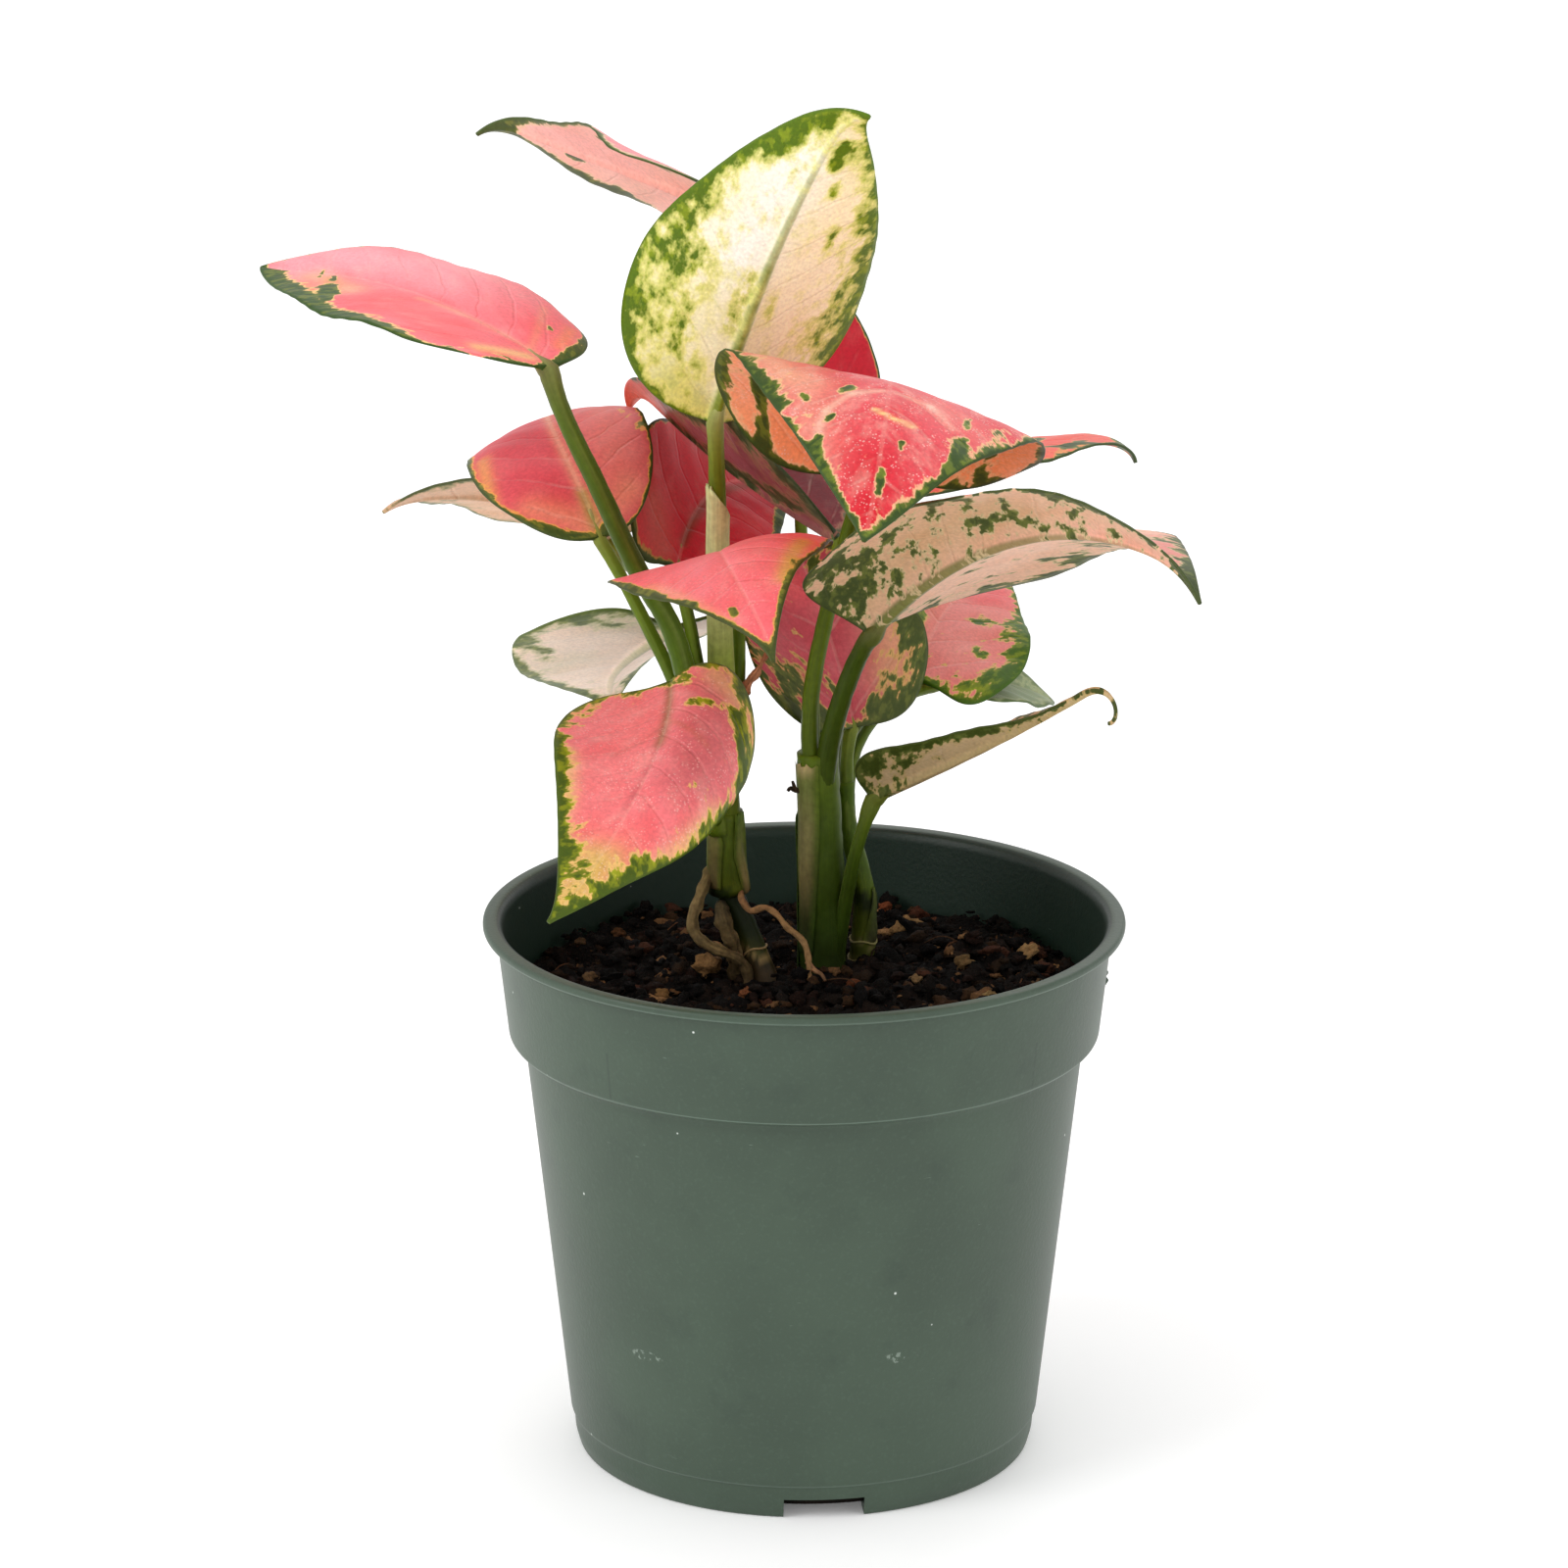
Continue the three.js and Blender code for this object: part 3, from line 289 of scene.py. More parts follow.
        (-4, 30, -5, 37, 3, "e05c60", 0.8), (-6, 10, -8, 26, 5, "e08c80", 0.7)]),
    "leaf_low_back": dict(colours="c0505a dcae93 c9a05c 404c18 707830", band=(0.9, 1.1), mottle=1, reach=20,
        soft=0.15, veins=0.2, size=1.5, green=[(-8, 26, -15, 18, 2.6, 0.9), (-12, 6, -17, 16, 3.6, 1.1),
        (-5, 3, -12, 3, 2.4, 1), (15, 14, 8, 3, 2.4, 1.2), (-1, 30, -6, 27, 1.8, 1),
        (2, 4, 4, 12, 1.2, 0.5)], tint=[(-10, 8, -13, 24, 5, "cf9470", 0.9),
        (3, 26, 8, 30, 4, "ea5c60", 0.7)]),
    "leaf_small_front": dict(colours="ee6a70 dcae93 d0a04a 40481c 868430", band=(0.5, 0.5), mottle=0.2,
        soft=0.05, pale=0.3, veins=0.12, freckle=0.15, green=[(-3, 47.5, -3, 48.5, 0.8, 1.5),
        (-12, 36, -17, 25, 1.2, 1), (4, 52, 13, 30, 0.8, 0.5), (-1, 58, 0, 60, 1.4, 1.2),
        (-8, 43, -9, 41, 0.8, 0.9)], tint=[(7, 44, 13, 28, 1.7, "d29a52", 0.95),
        (-5, 50, -13, 30, 1.3, "e9a478", 0.5), (-3, 10, -4, 40, 5, "f28088", 0.5)]),
    "leaf_low_front": dict(colours="ec7a7e dcae93 e2b86c 44560c a0a41c", band=(1, 1.1), mottle=0.75,
        reach=9, soft=0.18, pale=0.4, veins=0.06, freckle=0.25, size=1.1, gloss=0.2,
        green=[(17, 21, 12, 12, 1.7, 1.7), (12, 11, 4, 10, 1.1, 1), (13, 34, 16, 26, 1.2, 0.7),
        (8, 46, 5, 53, 1.5, 1), (0, 62, 0, 60, 1.6, 1.2), (2, 53, -2, 50, 1.5, 0.5),
        (-6, 51, -11, 42, 2, 1.1), (-12, 40, -16, 26, 1.8, 1), (-3, 46, -5, 48, 1.2, 1),
        (0, 0, 3, 3, 1.8, 1), (13, 6, 15, 3, 2, 0.8), (8, 28, 8, 28.5, 0.5, 1.2), (6, 45, 4, 56, 2.4, 0.55),
        (-1, 50, 0, 56, 1.6, 0.5), (13, 40, 16, 30, 2, -0.5), (16.5, 24, 16.5, 32, 0.9, -0.8)],
        tint=[(8, 8, 7, 26, 6, "c8686c", 0.85), (-6, 10, -6, 36, 5, "ee8080", 0.7),
        (0, 48, 0, 60, 5, "cfae5c", 0.95), (-8, 47, -14, 28, 2, "e6b47c", 0.9),
        (9, 44, 14, 30, 2, "e8b884", 0.85), (0, 0, 0, 20, 1, "8c6438", 0.75),
        (0, 20, -1, 40, 0.6, "c86468", 0.5), (0, 13, 8, 20, 0.5, "c07058", 0.5),
        (0, 14, -7, 24, 0.5, "cc6c64", 0.4), (4, 40, -5, 42, 4, "ee686c", 0.6),
        (13, 10, 8, 4, 2.2, "dcae7c", 0.7)]),
    "leaf_low_left": dict(colours="f2d2ba fbe0ca d6caa0 55642c 8f954c", rib="b4ae7c", mottle=0.7, reach=12,
        soft=0.45, veins=0.1, size=1.5, gloss=0.15, green=[(18, 30, 10, 43, 2, 0.9),
        (9, 44, 3, 52, 1.6, 0.9), (-4, 51, -11, 43, 2, 1.1), (13, 26, 14, 22, 1.6, 0.8),
        (17, 22, 18, 18, 1.6, 0.8), (14, 8, 2, 2, 2.2, 0.6), (-16, 36, -19, 24, 2, 0.7)],
        tint=[(12, 6, 2, 3, 4, "cdb798", 0.7), (8, 24, 12, 32, 4, "dcd0b2", 0.5)]),
    "leaf_far_left": dict(colours="d8a888 e0b898 c0a57c 56603c 868a50", band=(0.7, 0.7), mottle=0.6,
        reach=10, soft=0.5, green=[(8, 35, 3, 38, 1, 0.7), (-7, 38, -13, 28, 1.6, 0.8),
        (-2, 36, -10, 26, 1, 1.1), (-5, 20, -8, 14, 1.6, 0.9), (0, 42, 0, 48, 3, -1)]),
    "leaf_far_right": dict(colours="e45a4c d2605c dd9654 3a4a22 76803a", band=(0.6, 0.6), reach=8, pale=0.2,
        veins=0.2, green=[(4, 27, -3, 25.5, 1.5, 1), (-5, 24, -9, 21.5, 1.8, 1),
        (-9, 22, -14, 14, 1.6, 0.9), (-3, 34, -8, 30, 1.6, 1), (2, 41, -3, 41, 1.6, 1),
        (-6.5, 25, -5.5, 31, 0.8, 1.3), (-5.5, 31, -6, 35, 0.7, 1.2)],
        tint=[(-12, 28, -10, 30, 3, "ee7a5e", 0.6)]),
    "leaf_lowest_right": dict(colours="c08a72 c8aa80 bfa56c 3f4a18 70783a", band=(0.8, 0.7), mottle=1,
        reach=20, soft=0.2, gloss=0.2, green=[(-5, 34, -8.5, 20, 2, 1), (-8.5, 20, -6, 6, 2.8, 1.1),
        (-3, 30, -4, 33, 1.2, 0.6), (-4, 12, -4, 14, 1.2, 0.7), (0, 0, 0, 5, 3, 1), (8, 18, 9, 8, 1.6, 0.4),
        (0, 50, 0, 62, 4, -0.9)], tint=[(5, 10, 2, 44, 5, "b59c6a", 0.8), (0, 48, 0, 60, 3, "c0a878", 0.8)]),
    "leaf_small_right": dict(colours="7e8e64 a08c70 98a074 55683c 7f8c50", band=(0.8, 0.8), reach=10,
        soft=0.4, pale=0.1, veins=0.1, green=[(5, 14, 2, 26, 3, 0.6)]),
}


def look_of(name):
    """A leaf's look with the plain values filled in."""
    look = dict(PLAIN_LOOK, seed=list(LOOKS).index(name) + 1, **LOOKS[name])
    look["top"], look["under"], *look["inks"] = look["colours"].split()
    return look


def mm(values):
    """Millimetres to Blender's metres."""
    return np.asarray(values, float) * MM


def unit(vectors):
    return vectors / np.maximum(np.linalg.norm(vectors, axis=-1, keepdims=True), 1e-9)


def smooth(x, low, high):
    """0 up to low and 1 from high on, with an even curve between."""
    t = np.clip((np.asarray(x, float) - low) / (high - low), 0, 1)
    return t * t * (3 - 2 * t)


def bell(x, width):
    """1 at 0, fading over the width."""
    return np.exp(-(x / width) ** 2)


def rgb(colour):
    """Hex colour to linear red, green and blue."""
    parts = np.array([int(colour[i:i + 2], 16) / 255 for i in (0, 2, 4)])
    return np.where(parts <= 0.04045, parts / 12.92, ((parts + 0.055) / 1.055) ** 2.4)


def shade(stops, x):
    """Colour at each x from (place, hex colour) stops."""
    colours = np.array([rgb(colour) for _, colour in stops])
    return np.stack([np.interp(x, [place for place, _ in stops], colours[:, i]) for i in range(3)], -1)


def around(sides):
    return 2 * math.pi * np.arange(sides) / sides


def ring_faces(rows, sides):
    """Faces of a body made of rings of points, closed at both ends."""
    ids = np.arange(rows * sides).reshape(rows, sides)
    a, b = ids[:-1], ids[1:]
    quads = np.stack([a, np.roll(a, -1, 1), np.roll(b, -1, 1), b], -1).reshape(-1, 4)
    return [*quads.tolist(), ids[0, ::-1].tolist(), ids[-1].tolist()]


def slab_faces(rows, columns):
    """Faces of a closed slab between two grids of points."""
    count = rows * columns
    ids = np.arange(count).reshape(rows, columns)
    quads = np.stack([ids[:-1, :-1], ids[1:, :-1], ids[1:, 1:], ids[:-1, 1:]], -1).reshape(-1, 4)
    rim = [int(i) for i in (*ids[:, 0], *ids[-1, 1:], *ids[-2::-1, -1], *ids[0, -2:0:-1])]
    walls = [(p + count, q + count, q, p) for p, q in zip(rim, rim[1:] + rim[:1])]
    return [*quads[:, ::-1].tolist(), *(quads + count).tolist(), *walls]


def flat(*grids):
    """Grids of points or values, one after another in one list."""
    return np.concatenate([np.reshape(grid, (-1, 3)) for grid in grids])


def mesh_object(name, points, faces, material, **attributes):
    """A smooth-shaded mesh object from points in millimetres. Attributes are per point: 3 numbers."""
    mesh = bpy.data.meshes.new(name)
    mesh.from_pydata([tuple(p) for p in mm(points)], [], faces)
    for key, values in attributes.items():
        layer = mesh.attributes.new(key, "FLOAT_VECTOR", "POINT")
        layer.data.foreach_set("vector", np.asarray(values, np.float32).ravel())
    mesh.validate()
    mesh.polygons.foreach_set("use_smooth", [True] * len(mesh.polygons))
    obj = bpy.data.objects.new(name, mesh)
    bpy.context.scene.collection.objects.link(obj)
    mesh.materials.append(material)
    return obj


def tidy_normals(obj):
    """Makes every face point outwards."""
    shape = bmesh.new()
    shape.from_mesh(obj.data)
    bmesh.ops.recalc_face_normals(shape, faces=shape.faces)
    shape.to_mesh(obj.data)
    shape.free()


def dress(obj, slot, *nodes):
    """Puts a piece in the frame: it rides on the one body and stands for CAD nodes, if any."""
    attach(obj, "root")
    if nodes:
        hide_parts(*nodes)
    return obj


class Value:
    """What a material's node gives. Arithmetic on it adds math nodes."""

    def __init__(self, graph, socket):
        self.graph, self.socket = graph, socket

    def __add__(self, other):
        return self.graph.math("ADD", self, other)

    def __sub__(self, other):
        return self.graph.math("SUBTRACT", self, other)

    def __rsub__(self, other):
        return self.graph.math("SUBTRACT", other, self)

    def __mul__(self, other):
        return self.graph.math("MULTIPLY", self, other)

    def __truediv__(self, other):
        return self.graph.math("DIVIDE", self, other)


class Graph:
    """A material's node tree, with short calls for the nodes used here. A string is a hex colour."""

    def __init__(self, name):
        self.material = bpy.data.materials.new(name)
        self.material.use_nodes = True
        self.tree = self.material.node_tree
        self.shader = self.tree.nodes["Principled BSDF"]

    def put(self, socket, value):
        if isinstance(value, Value):
            self.tree.links.new(value.socket, socket)
        else:
            socket.default_value = (*rgb(value), 1) if isinstance(value, str) else value

    def node(self, kind, values, **settings):
        """A new node's outputs."""
        node = self.tree.nodes.new("ShaderNode" + kind)
        for key, value in settings.items():
            setattr(node, key, value)
        for key, value in values.items():
            self.put(node.inputs[key], value)
        return [Value(self, socket) for socket in node.outputs]

    def math(self, kind, *values):
        return self.node("Math", dict(enumerate(values)), operation=kind)[0]

    def smooth(self, x, low, high):
        values = {"Value": x, "From Min": low, "From Max": high}
        return self.node("MapRange", values, interpolation_type="SMOOTHSTEP")[0]

    def mix(self, factor, a, b):
        """From colour a to colour b."""
        return self.node("Mix", {0: factor, 6: a, 7: b}, data_type="RGBA")[2]

    def blend(self, factor, a, b):
        """From number a to number b."""
        return self.node("Mix", {0: factor, 2: a, 3: b}, data_type="FLOAT")[0]

    def scaled(self, colour, by):
        return self.node("VectorMath", {0: colour, 1: by}, operation="MULTIPLY")[0]

    def noise(self, vector, scale, detail=3, roughness=0.55):
        values = {"Vector": vector, "Scale": scale, "Detail": detail, "Roughness": roughness}
        return self.node("TexNoise", values)[0]

    def join(self, x, y, z):
        return self.node("CombineXYZ", {0: x, 1: y, 2: z})[0]

    def split(self, vector):
        return self.node("SeparateXYZ", {0: vector})

    def paint(self, name):
        """A colour that the mesh carries."""
        return self.node("Attribute", {}, attribute_name=name)[0]

    def numbers(self, name):
        """Three numbers that the mesh carries."""
        return self.split(self.node("Attribute", {}, attribute_name=name)[1])

    def place(self):
        """Position on the object in millimetres."""
        of_object = self.node("TexCoord", {})[3]
        return self.scaled(of_object, (1 / MM, 1 / MM, 1 / MM))

    def bump(self, height, strength, distance):
        values = {"Height": height, "Strength": strength, "Distance": distance}
        self.set(Normal=self.node("Bump", values)[0])

    def set(self, **values):
        for key, value in values.items():
            self.put(self.shader.inputs[key.replace("_", " ")], value)


def leaf_material(name, look):
    """Variegated blade: a green margin that breaks into blotches drawn out along the side veins."""
    g = Graph(name)
    x, y, edge = g.numbers("plan")
    marks, t, under = g.numbers("face")
    tint = g.paint("tint")
    away = g.math("ABSOLUTE", x)
    curve = away * 0.013 + 0.7
    seed = look["seed"] * 7.3
    fringe_ink, dark_ink, lime_ink = look["inks"]
    soft, size = look["soft"], look["size"]
    spread = g.join(x, y, seed)
    run = y - away * (curve * (1 - 0.8 * soft))

    def streaks(along, across, shift, detail=3):
        """Noise drawn out along the side veins."""
        across *= 1 + 0.7 * soft
        return g.noise(g.join(run * along, x * across, seed + shift), 1, detail)

    # The pattern's field is green above 0: high at the margin, low further in, raised by marks and noise
    band = g.blend(g.math("GREATER_THAN", x, 0), look["band"][1], look["band"][0])
    margin = g.math("EXPONENT", edge / band * -0.7) * 2.2
    blotch = streaks(0.34 / size, 0.26 / size, 0) - 0.5
    grain = streaks(0.95 / size, 0.8 / size, 40) - 0.5
    spots = blotch * 6.5 + grain * (3.2 - 1.6 * soft)
    reach = g.math("MAXIMUM", g.math("EXPONENT", edge * (-1 / look["reach"])), g.smooth(marks, 0.1, 0.8))
    field = margin + marks - 1 + spots * (reach * look["mottle"]) + grain * (0.5 - 0.3 * soft)
    green = g.smooth(field, -0.05 - 0.5 * soft, 0.05 + 0.9 * soft)
    fringe = g.smooth(field, -0.32 - 0.8 * soft, -0.16)

    # Body: clouds, side veins broken into pieces, a midrib and freckles
    pale = g.mix(0.55, tint, "fbe3cc")
    cloudy = g.smooth(streaks(0.24, 0.22, 130, 4), 0.47, 0.7)
    body = g.mix(cloudy * (look["pale"] * 0.55), tint, pale)
    dim = g.smooth(streaks(0.1, 0.12, 90), 0.42, 0.7)
    body = g.mix(dim * 0.5, body, g.node("Gamma", {"Color": tint, "Gamma": 1.3})[0])
    vein = g.noise(spread, 0.12, 2) * 3 + (y - away * curve)
    off_vein = g.math("ABSOLUTE", g.math("PINGPONG", vein, 7.5) - 3.7)
    veins = (1 - g.smooth(off_vein, 0.1, 0.55)) * g.smooth(edge, 1, 4)
    shown = veins * g.smooth(streaks(0.3, 0.2, 60, 2), 0.4, 0.6)
    body = g.mix(shown * look["veins"], body, pale)
    rib = 1 - g.smooth(away / g.blend(under, 0.4, (1 - t) * 0.9 + 0.4), 0.5, 1.2)
    lower = look["rib"] or g.mix(0.25, tint, lime_ink)
    body = g.mix(rib * g.blend(under, 0.15, t * -0.7 + 0.95), body, g.mix(under, pale, lower))
    grit = g.noise(spread, 1.7)
    if look["freckle"]:
        off_dot = g.node("TexVoronoi", {"Vector": spread, "Scale": 1.5}, voronoi_dimensions="2D")[0]
        dots = 1 - g.smooth(off_dot / (g.noise(spread, 0.9) * 0.5), 0.4, 1)
        some = g.smooth(g.noise(spread, 0.45), 0.45, 0.62)
        body = g.mix(dots * some * look["freckle"], body, "fbe6dc")

    # Greens: lime where the pattern thins out and in streaks, dark along the very edge
    colour = g.mix(fringe, body, g.mix(0.15, fringe_ink, tint))
    thinner = 1 - g.smooth(field, 0.1, 0.9)
    lime = thinner * (0.25 + 0.6 * soft) + g.smooth(streaks(0.45, 0.35, 170), 0.48, 0.62) * 0.5
    greens = g.mix(g.math("MINIMUM", lime, 1), dark_ink, lime_ink)
    greens = g.mix(1 - g.smooth(edge, 0.1, 0.6), greens, dark_ink)
    colour = g.scaled(g.mix(green, colour, greens), (grit - 0.5) * 0.6 + 1)
    g.set(Base_Color=colour, Roughness=g.blend(grit, 0.36, 0.5), Specular_IOR_Level=look["gloss"])
    g.set(Subsurface_Weight=0.1, Subsurface_Radius=(1, 0.45, 0.3), Subsurface_Scale=MM)
    g.bump(grit * 0.3 + veins * -0.8, 0.4, 0.0004)
    return g.material


def mark_weight(x, y, mark):
    """How strongly a mark acts at each point of the flat plan: 1 on its line, fading over its reach."""
    x0, y0, x1, y1, reach = mark[:5]
    run = np.array([x1 - x0, y1 - y0], float)
    share = np.clip(((x - x0) * run[0] + (y - y0) * run[1]) / max(run @ run, 1e-6), 0, 1)
    return bell(np.hypot(x - x0 - share * run[0], y - y0 - share * run[1]), reach)


def marked(look, x, y, face):
    """Amount of green marks, and body colour with its tints, at each point of one face."""
    marks = [m for m in look["green"] if len(m) < 7 or m[6] == face]
    green = sum((1.3 * m[5] * mark_weight(x, y, m) for m in marks), 0 * x)
    colour = np.zeros((*x.shape, 3)) + rgb(look[face])
    for mark in look["tint"]:
        share = (mark[6] * mark_weight(x, y, mark))[..., None]
        colour = colour * (1 - share) + rgb(mark[5]) * share
    return green, colour


def blade_frame(leaf, t):
    """Midrib, sideways and upward directions at each t, from 0 at the base to 1 at the tip."""
    hook = np.clip((t - 0.8) / 0.2, 0, 1) ** 2
    pitch = np.radians(leaf["pitch"] - leaf["droop"] * t - leaf["hook"] * hook)
    heading = np.radians(leaf["heading"] + leaf["turn"] * t)
    roll = np.radians(leaf["roll"] + leaf["twist"] * t)[..., None]
    level = np.cos(pitch)
    along = np.stack([level * np.cos(heading), level * np.sin(heading), np.sin(pitch)], -1)
    sideways = np.stack([-np.sin(heading), np.cos(heading), 0 * heading], -1)
    side = sideways * np.cos(roll) + np.cross(along, sideways) * np.sin(roll)
    return along, side, np.cross(along, side)


def midrib(leaf, t, pieces=24):
    steps = (np.arange(pieces) + 0.5) / pieces
    along, _, _ = blade_frame(leaf, t[:, None] * steps)
    return np.array(leaf["base"]) + along.mean(1) * (leaf["length"] * t)[:, None]


def blade_sheet(leaf, t, v):
    """The blade's middle sheet on a grid: points, normals, half width per row."""
    along, side, up = (a[:, None] for a in blade_frame(leaf, t))
    widest = 0.5 / (0.5 + leaf["taper"])
    scale = leaf["width"] / (2 * widest ** 0.5 * (1 - widest) ** leaf["taper"])
    half = scale * t ** 0.5 * (1 - t) ** leaf["taper"] + 1.2 * (1 - t) ** 12 + 0.35 * t ** 10
    half, t = half[:, None], t[:, None]
    sign = np.sign(v)
    fold, curl = (np.radians(np.where(v > 0, *leaf[key])) for key in ("fold", "curl"))
    reach = np.abs(v) * half
    bend = curl * reach / leaf["width"]
    chord = reach * np.sinc(bend / np.pi)
    slope = fold + bend
    lobe = leaf["lobe"] * v * v * (half / scale) ** 2 / 0.07 * np.exp(1 - t / 0.07)
    swing = np.sin(2 * math.pi * leaf["waves"] * t + leaf["phase"])
    ripple = leaf["wave"] * v * v * np.sin(math.pi * t) * swing
    # Gentle pillows between the side veins, and a finer swing at the margin
    vein = t * leaf["length"] - reach * (0.7 + 0.013 * reach)
    calm = np.sin(math.pi * np.clip(t, 0, 1)) * np.clip(1 - np.abs(v) ** 3, 0, 1)
    pillow = 0.16 * calm * np.abs(v) ** 0.5 * np.cos(2 * math.pi * (vein - 1.9) / VEIN_SPACING + math.pi)
    flutter = 0.07 * np.abs(v) ** 6 * np.sin(math.pi * t) * np.sin(vein * 1.1 + 5 * leaf["phase"])
    normal = up * np.cos(slope + bend)[..., None] - side * (sign * np.sin(slope + bend))[..., None]
    points = midrib(leaf, t[:, 0])[:, None] + side * (sign * chord * np.cos(slope))[..., None]
    points = points + up * (chord * np.sin(slope) + ripple)[..., None] - along * lobe[..., None]
    return points + normal * (pillow + flutter)[..., None], normal, half


def blade(name, leaf):
    u = np.linspace(0, 1, BLADE_ROWS)
    t = 0.55 * u + 0.45 * (0.5 - 0.5 * np.cos(math.pi * u))
    w = np.linspace(-1, 1, BLADE_COLUMNS)
    v = (w * (0.5 + 0.5 * np.abs(w)))[None]
    points, normal, half = blade_sheet(leaf, t, v)
    x = v * half
    y = (t * leaf["length"])[:, None] + 0 * x
    thick = EDGE_THICKNESS + (HALF_THICKNESS - EDGE_THICKNESS) * np.sqrt(np.clip(1 - v ** 6, 0, 1))
    taper = ((1 - t) ** 0.7)[:, None]
    groove = GROOVE_DEPTH * taper * bell(x, 0.5)
    keel = KEEL_DEPTH * taper * bell(x, 0.35 + 0.6 * taper)
    # Distance from the margin, measured across its slant
    slant = np.abs(np.gradient(half[:, 0], t * leaf["length"]))[:, None]
    edge = (1 - np.abs(v)) * half / np.sqrt(1 + slant ** 2)
    edge = np.minimum(edge, ((1 - t) * leaf["length"])[:, None] * 0.6)
    plan = np.stack([x, y, edge], -1)
    look = look_of(name)
    greens, tints = zip(*(marked(look, x, y, face) for face in ("top", "under")))
    obj = mesh_object(
        name + "_blade",
        flat(points + normal * (thick - groove)[..., None], points - normal * (thick + keel)[..., None]),
        slab_faces(*x.shape), leaf_material(name, look), plan=flat(plan, plan), tint=flat(*tints),
        face=flat(*(np.stack([green, t[:, None] + 0 * x, 0 * x + i], -1) for i, green in enumerate(greens))))
    tidy_normals(obj)
    return dress(obj, "leaf_cream" if name == "leaf_crown" else "leaf_pink", name)


def spline(points, per_piece=24):
    """Points along a centripetal Catmull-Rom curve."""
    p = [np.array(q, float) for q in points]
    p = [2 * p[0] - p[1], *p, 2 * p[-1] - p[-2]]
    s = np.linspace(0, 1, per_piece, endpoint=False)[:, None]
    out = []
    for p0, p1, p2, p3 in zip(p, p[1:], p[2:], p[3:]):
        d0, d1, d2 = (np.sum((b - a) ** 2) ** 0.25 for a, b in ((p0, p1), (p1, p2), (p2, p3)))
        m1 = ((p1 - p0) / d0 - (p2 - p0) / (d0 + d1) + (p2 - p1) / d1) * d1
        m2 = ((p2 - p1) / d1 - (p3 - p1) / (d1 + d2) + (p3 - p2) / d2) * d1
        out.append((2 * s**3 - 3 * s**2 + 1) * p1 + (s**3 - 2 * s**2 + s) * m1
                   + (-2 * s**3 + 3 * s**2) * p2 + (s**3 - s**2) * m2)
    return np.concatenate([*out, [p[-2]]])


def resample(line, places, want):
    return np.stack([np.interp(want, places, line[:, i]) for i in range(3)], -1)


def lengths(line):
    """Length along a line at each of its points."""
    return np.concatenate([[0], np.cumsum(np.linalg.norm(np.diff(line, axis=0), axis=1))])


def even(line, count):
    """The same line with points at even distances, and its length."""
    places = lengths(line)
    return resample(line, places, np.linspace(0, places[-1], count)), places[-1]


def carried(line, start):
    """Directions of a line, and two directions across it that are carried along without twisting."""
    ahead = unit(np.gradient(line, axis=0))
    side = [unit(start - ahead[0] * np.dot(start, ahead[0]))]
    for direction in ahead[1:]:
        side.append(unit(side[-1] - direction * np.dot(side[-1], direction)))
    return ahead, np.array(side), np.cross(ahead, side)


def off_front(angle):
    """Angle from the side that a tube starts at, from -pi to pi."""
    return np.angle(np.exp(1j * angle))


def tube(line, radius, start=FRONT, sides=STALK_SIDES, rough=0, seed=0, channel=0):
    """Closed tube: points, faces and per-point (share along, angle, length along in mm)."""
    _, side, other = carried(line, np.array(start, float))
    angle = around(sides)
    radius = np.asarray(radius, float)[:, None] * (1 - channel * bell(off_front(angle), 0.5))
    if rough:
        bumps = [[noise.fractal(Vector(p * 0.45 + (seed, math.cos(a), math.sin(a))), 0.7, 2.0, 3)
                  for a in angle] for p in line]
        radius = radius * (1 + rough * np.array(bumps))
    ring = side[:, None] * np.cos(angle)[None, :, None] + other[:, None] * np.sin(angle)[None, :, None]
    length, rows = lengths(line), len(line)
    info = [np.repeat(length / length[-1], sides), np.tile(angle, rows), np.repeat(length, sides)]
    return flat(line[:, None] + ring * radius[..., None]), ring_faces(rows, sides), np.stack(info, -1)


class Heap:
    """Collects several closed meshes into one piece, with a colour per point."""

    def __init__(self):
        self.points, self.faces, self.info, self.paint, self.count = [], [], [], [], 0

    def add(self, points, faces, info, paint):
        self.points.append(points)
        self.faces += [tuple(i + self.count for i in f) for f in faces]
        self.info.append(info)
        self.paint.append(paint)
        self.count += len(points)

    def tube(self, line, radius, stops, **how):
        points, faces, info = tube(line, radius, **how)
        self.add(points, faces, info, shade(stops, info[:, 0]))

    def lump(self, points, faces, colour):
        self.add(points, faces, np.zeros_like(points), np.tile(rgb(colour), (len(points), 1)))

    def build(self, name, material):
        return mesh_object(name, np.concatenate(self.points), self.faces, material,
                           run=np.concatenate(self.info), paint=np.concatenate(self.paint))


def tissue_material(name, gloss=0.42, streak=0.35, grain=0.12, relief=0.25):
    """Painted plant tissue: streaks along its run, fine spots and a soft relief."""
    g = Graph(name)
    _, angle, length = g.numbers("run")
    across, depth = (g.math(kind, angle) * 1.6 for kind in ("COSINE", "SINE"))
    lines = g.noise(g.join(across, depth, length * 0.09), 1.6)
    spots = g.noise(g.place(), 0.9, 4)
    value = (lines - 0.5) * (2 * streak) + 1 + (spots - 0.5) * (4 * grain)
    g.set(Base_Color=g.scaled(g.paint("paint"), value), Specular_IOR_Level=0.14,
          Roughness=g.blend(spots, gloss - 0.08, gloss + 0.12))
    g.set(Subsurface_Weight=0.08, Subsurface_Radius=(0.5, 1, 0.2), Subsurface_Scale=MM)
    g.bump(lines + spots * 0.4, relief, 0.0005)
    return g.material


